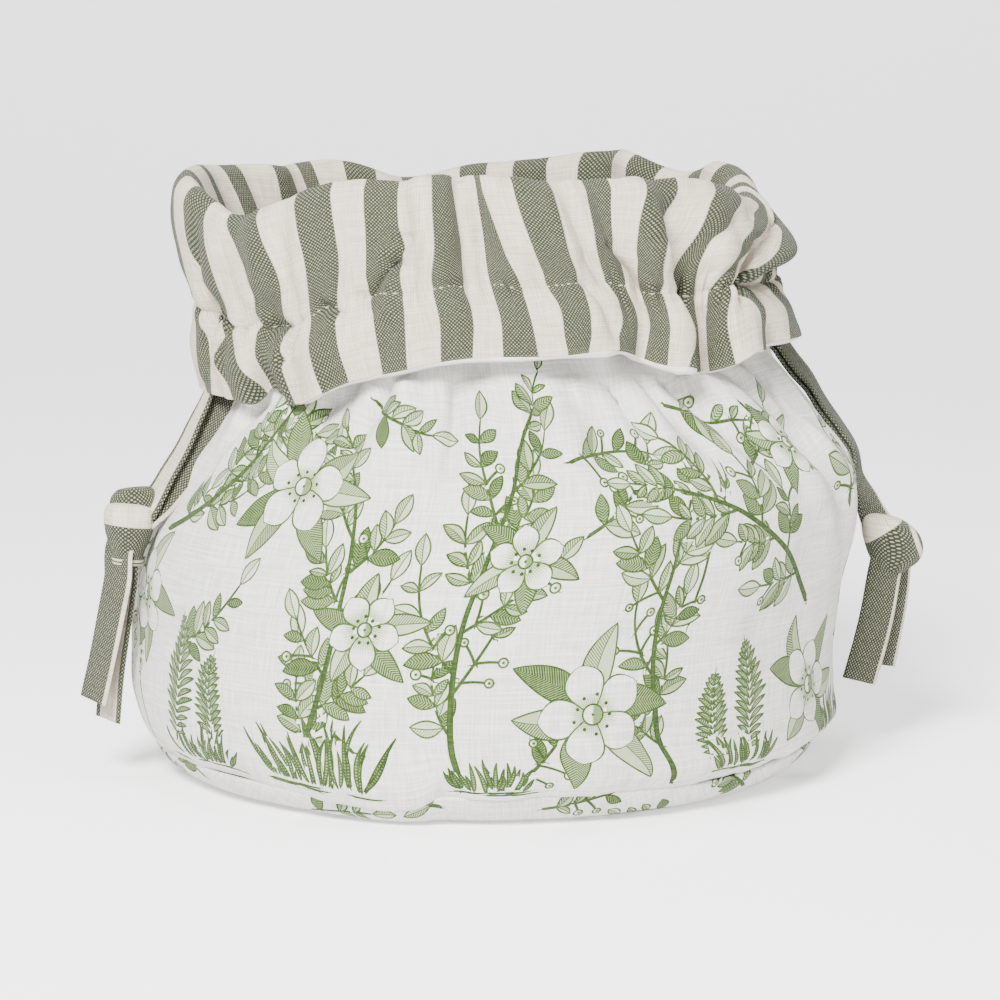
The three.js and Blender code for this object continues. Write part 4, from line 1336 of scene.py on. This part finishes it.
# profiles run from the middle out: radius and height; tucks are how far in the edge goes behind the seam
base = {
    "outer": [(0, 1.35), (60, 1.35), (100, 1.35), (106, 1.7), (110.6, 2.5), (114, 4.0), (116.6, 6.2),
              (118.2, 8.8)],
    "inner": [(0, 2.5), (60, 2.5), (100, 2.6), (106, 3.0), (110, 4.0), (113, 5.6), (115.2, 7.6), (116.4, 10)],
    "centre": bodyShift - 5.9, "columns": 400, "flatTo": 90, "flatRows": 16, "rimRows": 34, "turnUp": 100,
    "turnOver": 18, "lift": 0.92, "pucker": 0.45, "thick": 1.1, "tucks": (0.6, 1.8), "tuckMap": (0.8, 2.0),
    "tuckRise": 0.7, "seed": 5,
}


def roundBase(name, node, material, inner):
    # round panel turned up to the seam; the printed one faces down and out, the lining up and in
    stops = np.array(base["inner" if inner else "outer"], float)
    knots = np.concatenate([[0], np.cumsum(np.hypot(*np.diff(stops, axis=0).T))])
    flatPlaces = np.linspace(0, base["flatTo"], base["flatRows"])
    places = np.concatenate([flatPlaces, np.linspace(base["flatTo"], knots[-1], base["rimRows"])[1:]])
    curve = smoothRows(stops[:, None, :], knots, places)[:, 0]
    count = base["columns"]
    angle = np.arange(count) / count * 360
    turn = np.radians(angle)
    radius = curve[:, 0][:, None] + np.zeros(count)
    height = curve[:, 1][:, None] + np.zeros(count)
    rim = ease((radius - base["turnUp"]) / base["turnOver"])
    height = height + heightAt(seamLifts, angle) * rim ** 2 * base["lift"]
    if not inner:
        waver = softNoise(angle / 360 * roundLength, height, *detail["baseCells"])
        radius = radius + base["pucker"] * waver * rim ** 3
        slope = np.gradient(curve, axis=0)
        slope /= np.linalg.norm(slope, axis=1, keepdims=True)
        radius = radius + slope[:, 1][:, None] * base["thick"]
        height = height - slope[:, 0][:, None] * base["thick"]
    points = np.stack([base["centre"] + radius * np.sin(turn), -radius * np.cos(turn), height], -1)
    layers = ()
    if not inner:
        tucked = points[-1] + np.array([0, 0, base["tuckRise"]])
        inward = (np.array([base["centre"], 0, 0]) - points[-1]) * np.array([1, 1, 0])
        inward /= np.linalg.norm(inward, axis=1, keepdims=True)
        points = np.concatenate([points, [tucked + inward * far for far in base["tucks"]]])
        places = np.concatenate([places, places[-1] + np.array(base["tuckMap"])])
        ink = InkCloth(np.arange(count + 1) / count * roundLength, places)
        drawBaseMotifs(ink, base["seed"])
        layers = ink.layers
    # the map is the cloth laid flat, with its middle at 0
    full = np.concatenate([points, points[:, :1]], axis=1)
    across, along = full[..., 0] - base["centre"], full[..., 1]
    scale = places[:, None] / np.maximum(np.hypot(across, along), 1e-3)
    uvs = np.stack([across * scale, along * scale], -1)
    piece = closedGrid(name, points, uvs, layers, flip=not inner, weldFirst=True)
    piece.data.materials.append(material)
    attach(piece, "root")
    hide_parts(node)
    return piece


# columns of cloth, columns from stitch to stitch and to a stitch's middle, then metres
stitch = {"columns": 2400, "pitch": 10, "half": 3.4, "sides": 6, "stops": [(200, 30.0), (0, 1.2)],
          "lift": 0.05, "sizes": (0.0001, 0.00019, 0.0001), "sinks": (0.00022, 0.0, 0.00022), "wide": 1.5}


def stitchRow(material):
    # running stitches of the casing, one small capsule each
    count, sides = stitch["columns"], stitch["sides"]
    fine, points, _ = clothShape(count, stitch["stops"], frontStripes)
    row = int(np.argmin(np.abs(cuffRise(fine[:, 0, 4]) - casingRise)))
    up = rowNormals(points)[row]
    line = (points[row] - up * (face + stitch["lift"])) * mm
    bm = bmesh.new()
    for start in range(0, count, stitch["pitch"]):
        rings = []
        for k, (size, sink) in enumerate(zip(stitch["sizes"], stitch["sinks"])):
            index = int(start + k * stitch["half"]) % count
            ahead = line[(index + 2) % count] - line[(index - 2) % count]
            ahead /= np.linalg.norm(ahead)
            side = np.cross(up[index], ahead)
            ring = []
            for corner in range(sides):
                turn = 2 * math.pi * corner / sides
                spot = line[index] + up[index] * sink + side * size * stitch["wide"] * math.cos(turn)
                ring.append(bm.verts.new(spot - up[index] * size * math.sin(turn)))
            rings.append(ring)
        for first, second in zip(rings, rings[1:]):
            for k in range(sides):
                n = (k + 1) % sides
                bm.faces.new((first[k], first[n], second[n], second[k]))
        bm.faces.new(rings[0][::-1])
        bm.faces.new(rings[-1])
    bmesh.ops.recalc_face_normals(bm, faces=bm.faces)
    for one in bm.faces:
        one.smooth = True
    piece = meshObject("casingStitches", bm)
    piece.data.materials.append(material)
    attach(piece, "root")
    return piece


# ties: flat strips of the striped cloth, knotted in pairs, in mm
def spline(points, count):
    # smooth rows through points of any number of values
    rows = np.array(points, float)
    steps = np.linalg.norm(np.diff(rows[:, :3], axis=0), axis=1)
    knots = np.concatenate([[0], np.cumsum(steps)])
    return smoothRows(rows[:, None, :], knots, np.linspace(0, knots[-1], count))[:, 0], knots[-1]


# a lay is how far a band stands off its route at these shares of it, how far its upper run is moved
# aside in x and y, and how far it is turned there in degrees
pairShares = [0, 0.35, 0.6, 0.75, 1]
frontLay = {"shift": [-0.9, -0.9, -0.4, 0, 0], "aside": (0, 0), "facing": 0}
backLay = {"shift": [1.1, 1.1, 0.4, 0, 0], "aside": (0, 0), "facing": 0}
# strand and tails: x, y, z and the way the band faces in degrees, from the casing down
# a knot's rings: height, left, right, half depth; lumps: x, z, half width, half height, size
leftTie = {
    "strand": [
        (-95.6, -24, 163, -75), (-96.4, -26, 152, -74), (-96.9, -28, 142, -73), (-99.8, -30, 134, -71),
        (-103.8, -31.4, 126, -70), (-108.2, -31.8, 117, -69), (-113.6, -32.2, 108, -66),
        (-118.4, -32.4, 100, -60), (-124, -33, 94, -44), (-129, -33, 87, -34),
    ],
    "tails": [
        [(-131, -35, 84, -34), (-132, -38, 72, -38), (-134.6, -39, 58, -40), (-137.8, -38.6, 43, -42),
         (-141.2, -38, 28.6, -42)],
        [(-129, -32, 84, -34), (-130, -33.4, 72, -38), (-132.2, -33.8, 56, -42), (-134.8, -33.2, 38, -44),
         (-136.6, -32, 20.6, -44)],
    ],
    "lays": [{**frontLay, "aside": (4.4, -3.4), "facing": 34}, backLay],
    "knot": {
        "rings": [
            (98.6, -130, -125, 1.5), (98, -134, -121.6, 4.4), (96.4, -136.2, -119.2, 6.2),
            (93.4, -136.8, -119, 6.9), (89, -136.6, -119.6, 7.1), (84.6, -135.6, -121.2, 6.4),
            (81, -134.4, -122.8, 5.4),
            (79.5, -134.1, -123.2, 4.9), (78.8, -134.5, -122.8, 5.3), (78.1, -134.1, -123.2, 4.9),
            (77.4, -134.4, -122.9, 5.3), (76.7, -133.8, -123.6, 4.8), (76.2, -131.6, -126, 2.5),
        ],
        "y": -33.5, "tilt": -0.06, "power": 0.78, "lumps": [(-128, 88, 5, 9, 0.7), (-133, 84, 2.6, 7, -0.8)],
    },
    "puff": {
        "rings": [
            (103.6, -129, -124, 0.8), (102.9, -132.6, -120.4, 3), (100.6, -134.6, -118.2, 4.6),
            (97.4, -135, -117.4, 5.2), (94, -133.6, -119.4, 4.4), (92, -131, -124, 2),
        ],
        "y": -31.5, "tilt": 0.1, "power": 0.78, "lumps": [],
    },
}
rightTie = {
    "strand": [
        (96, 18, 164, 80), (98, 18, 156, 80), (103, 19.4, 149.4, 79), (108.4, 21, 142, 78),
        (114.2, 22, 135, 78), (119, 22, 127, 78), (125.4, 21.4, 118, 79), (131, 20.6, 109, 79),
        (132, 19, 101, 70), (135.8, 17, 92, 50), (140.4, 15, 82, 28),
    ],
    "tails": [
        [(143, 12, 75, 16), (141.4, 10.4, 64, 14), (139.4, 9.6, 52, 12), (136.4, 9.2, 39, 12),
         (133, 9, 26.6, 12)],
        [(146, 17, 75, 24), (146.4, 17.4, 64, 26), (145.4, 17, 54, 26), (143.4, 16.4, 43, 24),
         (141.2, 16, 31.4, 24)],
    ],
    "lays": [frontLay, backLay],
    "knot": {
        "rings": [
            (87.2, 138, 143.6, 1.5), (86.4, 135.4, 147.4, 4.6), (84.6, 133.9, 151, 6.2),
            (81.6, 133.7, 154.4, 6.9), (78, 134.2, 155.9, 7.2), (74.4, 135.2, 155.9, 7),
            (71.2, 136.4, 154.2, 6.4), (68.8, 138, 151.4, 5.6), (67, 139.6, 149.4, 4.8),
            (66, 142, 147.6, 2.2),
        ],
        "y": 14.0, "tilt": -0.12, "power": 0.6,
        "lumps": [(144, 77, 8, 9, 0.8), (151, 76, 1.8, 9, -1.2), (137, 72, 2.0, 6, -0.8)],
    },
}
band = {
    "wide": 13.0, "thick": 1.5, "rings": 150, "points": 15, "fold": 0.75, "flat": 2.2, "least": 0.12,
    "groove": 0.22, "grooveAt": 1.7, "grooveWide": 0.32, "sway": 0.3, "swayTurns": 17,
}
knotGrid = {"rings": 44, "sides": 64, "girth": 44, "least": 0.05}


def bandSection():
    # closed section of a folded band: rounded edges, a slight groove along each stitched edge
    half, rise, count = band["wide"] / 2, band["thick"] / 2, band["points"]
    front = []
    for k in range(count):
        x = -half + band["wide"] * k / (count - 1)
        edge = min(half - abs(x), band["flat"])
        height = rise * (1 - (1 - min(edge / band["fold"], 1)) ** 2) ** 0.5
        groove = band["groove"] * math.exp(-((edge - band["grooveAt"]) / band["grooveWide"]) ** 2)
        front.append((x, max(height, band["least"]) - groove, x))
    back = [(x, -height, band["wide"] - x) for x, height, _ in reversed(front)]
    return front + back


def makeBand(name, route, lay, material):
    rows, length = spline(route, band["rings"])
    section = bandSection()
    sides = len(section)
    tangents = np.gradient(rows[:, :3], axis=0)
    tangents /= np.linalg.norm(tangents, axis=1, keepdims=True)
    share = np.linspace(0, 1, len(rows))
    turn = np.radians(rows[:, 3] + lay["facing"] * np.interp(share, [0, 0.4, 0.56, 1], [1, 1, 0, 0]))
    normals = np.stack([np.sin(turn), -np.cos(turn), np.zeros_like(turn)], -1)
    normals -= tangents * (normals * tangents).sum(axis=1, keepdims=True)
    normals /= np.linalg.norm(normals, axis=1, keepdims=True)
    across = np.cross(normals, tangents)
    aside = np.interp(share, [0, 0.1, 0.4, 0.56, 1], [0.7, 1, 0.9, 0, 0])[:, None]
    offset = np.interp(share, pairShares, lay["shift"])[:, None] * normals
    offset = offset + aside * np.array([*lay["aside"], 0.0])
    sway = band["sway"] * np.sin(share * band["swayTurns"] + len(name))
    points = np.zeros((len(rows), sides, 3))
    uvs = np.zeros((len(rows), sides + 1, 2))
    for k, (x, height, u) in enumerate(section):
        cup = sway * (1 - (2 * x / band["wide"]) ** 2)
        points[:, k] = rows[:, :3] + offset + across * x + normals * (height + cup)[:, None]
        uvs[:, k, 0] = u
    uvs[:, sides, 0] = section[0][2] + 2 * band["wide"]
    uvs[..., 1] = (share * length)[:, None]
    piece = closedGrid(name, points, uvs, fillEnds=True)
    piece.data.materials.append(material)
    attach(piece, "root")
    return piece, rows[:, :3] + offset, length


def knotPiece(name, knot, material):
    # closed rounded body
    rows, _ = spline(knot["rings"], knotGrid["rings"])
    sides = knotGrid["sides"]
    turn = np.arange(sides) / sides * 2 * math.pi
    cosine, sine = np.cos(turn), np.sin(turn)
    squareX = np.sign(cosine) * np.abs(cosine) ** knot["power"]
    squareY = np.sign(sine) * np.abs(sine) ** knot["power"]
    points = np.zeros((len(rows), sides, 3))
    for j, (z, left, right, depth) in enumerate(rows):
        middle, half = (left + right) / 2, max((right - left) / 2, knotGrid["least"])
        points[j, :, 0] = middle + half * squareX
        points[j, :, 1] = knot["y"] + max(depth, knotGrid["least"]) * squareY
        points[j, :, 2] = z + (points[j, :, 0] - middle) * knot["tilt"]
    for x, z, width, tall, size in knot["lumps"]:
        near = hump(points[..., 0] - x, width) * hump(points[..., 2] - z, tall)
        points[..., 1] -= np.where(points[..., 1] < knot["y"], size * near, 0)
    uvs = np.zeros((len(rows), sides + 1, 2))
    uvs[..., 0] = np.arange(sides + 1) / sides * knotGrid["girth"]
    uvs[..., 1] = rows[:, 0][:, None]
    piece = closedGrid(name, points[::-1], uvs[::-1], fillEnds=True)
    piece.data.materials.append(material)
    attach(piece, "root")
    return piece


def knotColour(creamParts):
    # creamParts: weights of X and Z in mm and the levels between which the cloth is cream
    def build(tree, spot, threads):
        place = tree.nodes.new("ShaderNodeTexCoord")
        at = splitParts(tree, "ShaderNodeSeparateXYZ", place.outputs["Object"])
        parts = []
        for alongX, alongZ, low, high in creamParts:
            level = plus(tree, times(tree, at["X"], alongX), times(tree, at["Z"], alongZ))
            parts.append(between(tree, times(tree, level, 1 / mm), low, high, 0.2))
        cream = chain(tree, "MAXIMUM", parts)
        return twoCloths(tree, threads, cream, clothLook["tieGreen"], clothLook["tieTop"])
    return build


def bandColour(creamBands):
    # creamBands: stretches across the band, in mm, that are cream
    def build(tree, spot, threads):
        parts = [between(tree, spot["X"], low, high, 0.15) for low, high in creamBands]
        cream = chain(tree, "MAXIMUM", parts)
        return twoCloths(tree, threads, cream, clothLook["tieGreen"], clothLook["tieTop"])
    return build


tieCream = {
    "greenBand": [(5.2, 7.6)], "creamBand": [(-3.8, 4.6), (8.4, 17.2)],
    "leftKnotCloth": [(0.11, 1.0, 76.6, 200.0), (0.09, 1.0, 66.5, 67.2), (0.09, 1.0, 65.1, 65.8)],
    "rightKnotCloth": [(-0.62, 1.0, -6.5, 200.0), (1.0, 0.35, 179.8, 181.6)], "puffCloth": [],
}


def makeTies(weave):
    cloths = {}
    for name, cream in tieCream.items():
        colour = knotColour(cream) if "Knot" in name else bandColour(cream)
        cloths[name] = clothMaterial(name, weave, colour, weaves["tie"])
    green = cloths["greenBand"]
    makeTie("left", leftTie, "tie_left", cloths["leftKnotCloth"], (green, cloths["creamBand"]),
            cloths["puffCloth"])
    makeTie("right", rightTie, "tie_right", cloths["rightKnotCloth"], (green, green))


def makeTie(side, tie, node, knotCloth, bandCloths, puffCloth=None):
    knots = [knotPiece(side + "Knot", tie["knot"], knotCloth)]
    if puffCloth:
        knots.append(knotPiece(side + "Puff", tie["puff"], puffCloth))
    for place, tail, cloth, lay in zip(("Front", "Back"), tie["tails"], bandCloths, tie["lays"]):
        piece, line, length = makeBand(side + place + "Band", tie["strand"] + tail, lay, cloth)
        isFront = place == "Front"
        if isFront:
            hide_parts(node)


# the bag, stage by stage
print("camera and ties")
makeCamera()
weave = threadGroup()
makeTies(weave)
print("striped lining")
stripeCloth = clothMaterial("stripedCloth", weave, stripeColour, weaves["striped"])
stripedLining(stripeCloth)
print("printed panel")
printCloth = clothMaterial("printedCloth", weave, printColour(inkGroup()), weaves["printed"])
printedPanel(printCloth)
print("base")
roundBase("printedBase", "base_panel", printCloth, False)
roundBase("liningBase", "lining_base", stripeCloth, True)
print("stitches")
stitchRow(clothMaterial("sewingThread", weave, lambda *parts: clothLook["thread"], weaves["thread"]))
print("stage")
makeLights()
makeWorld()
makeFloor()
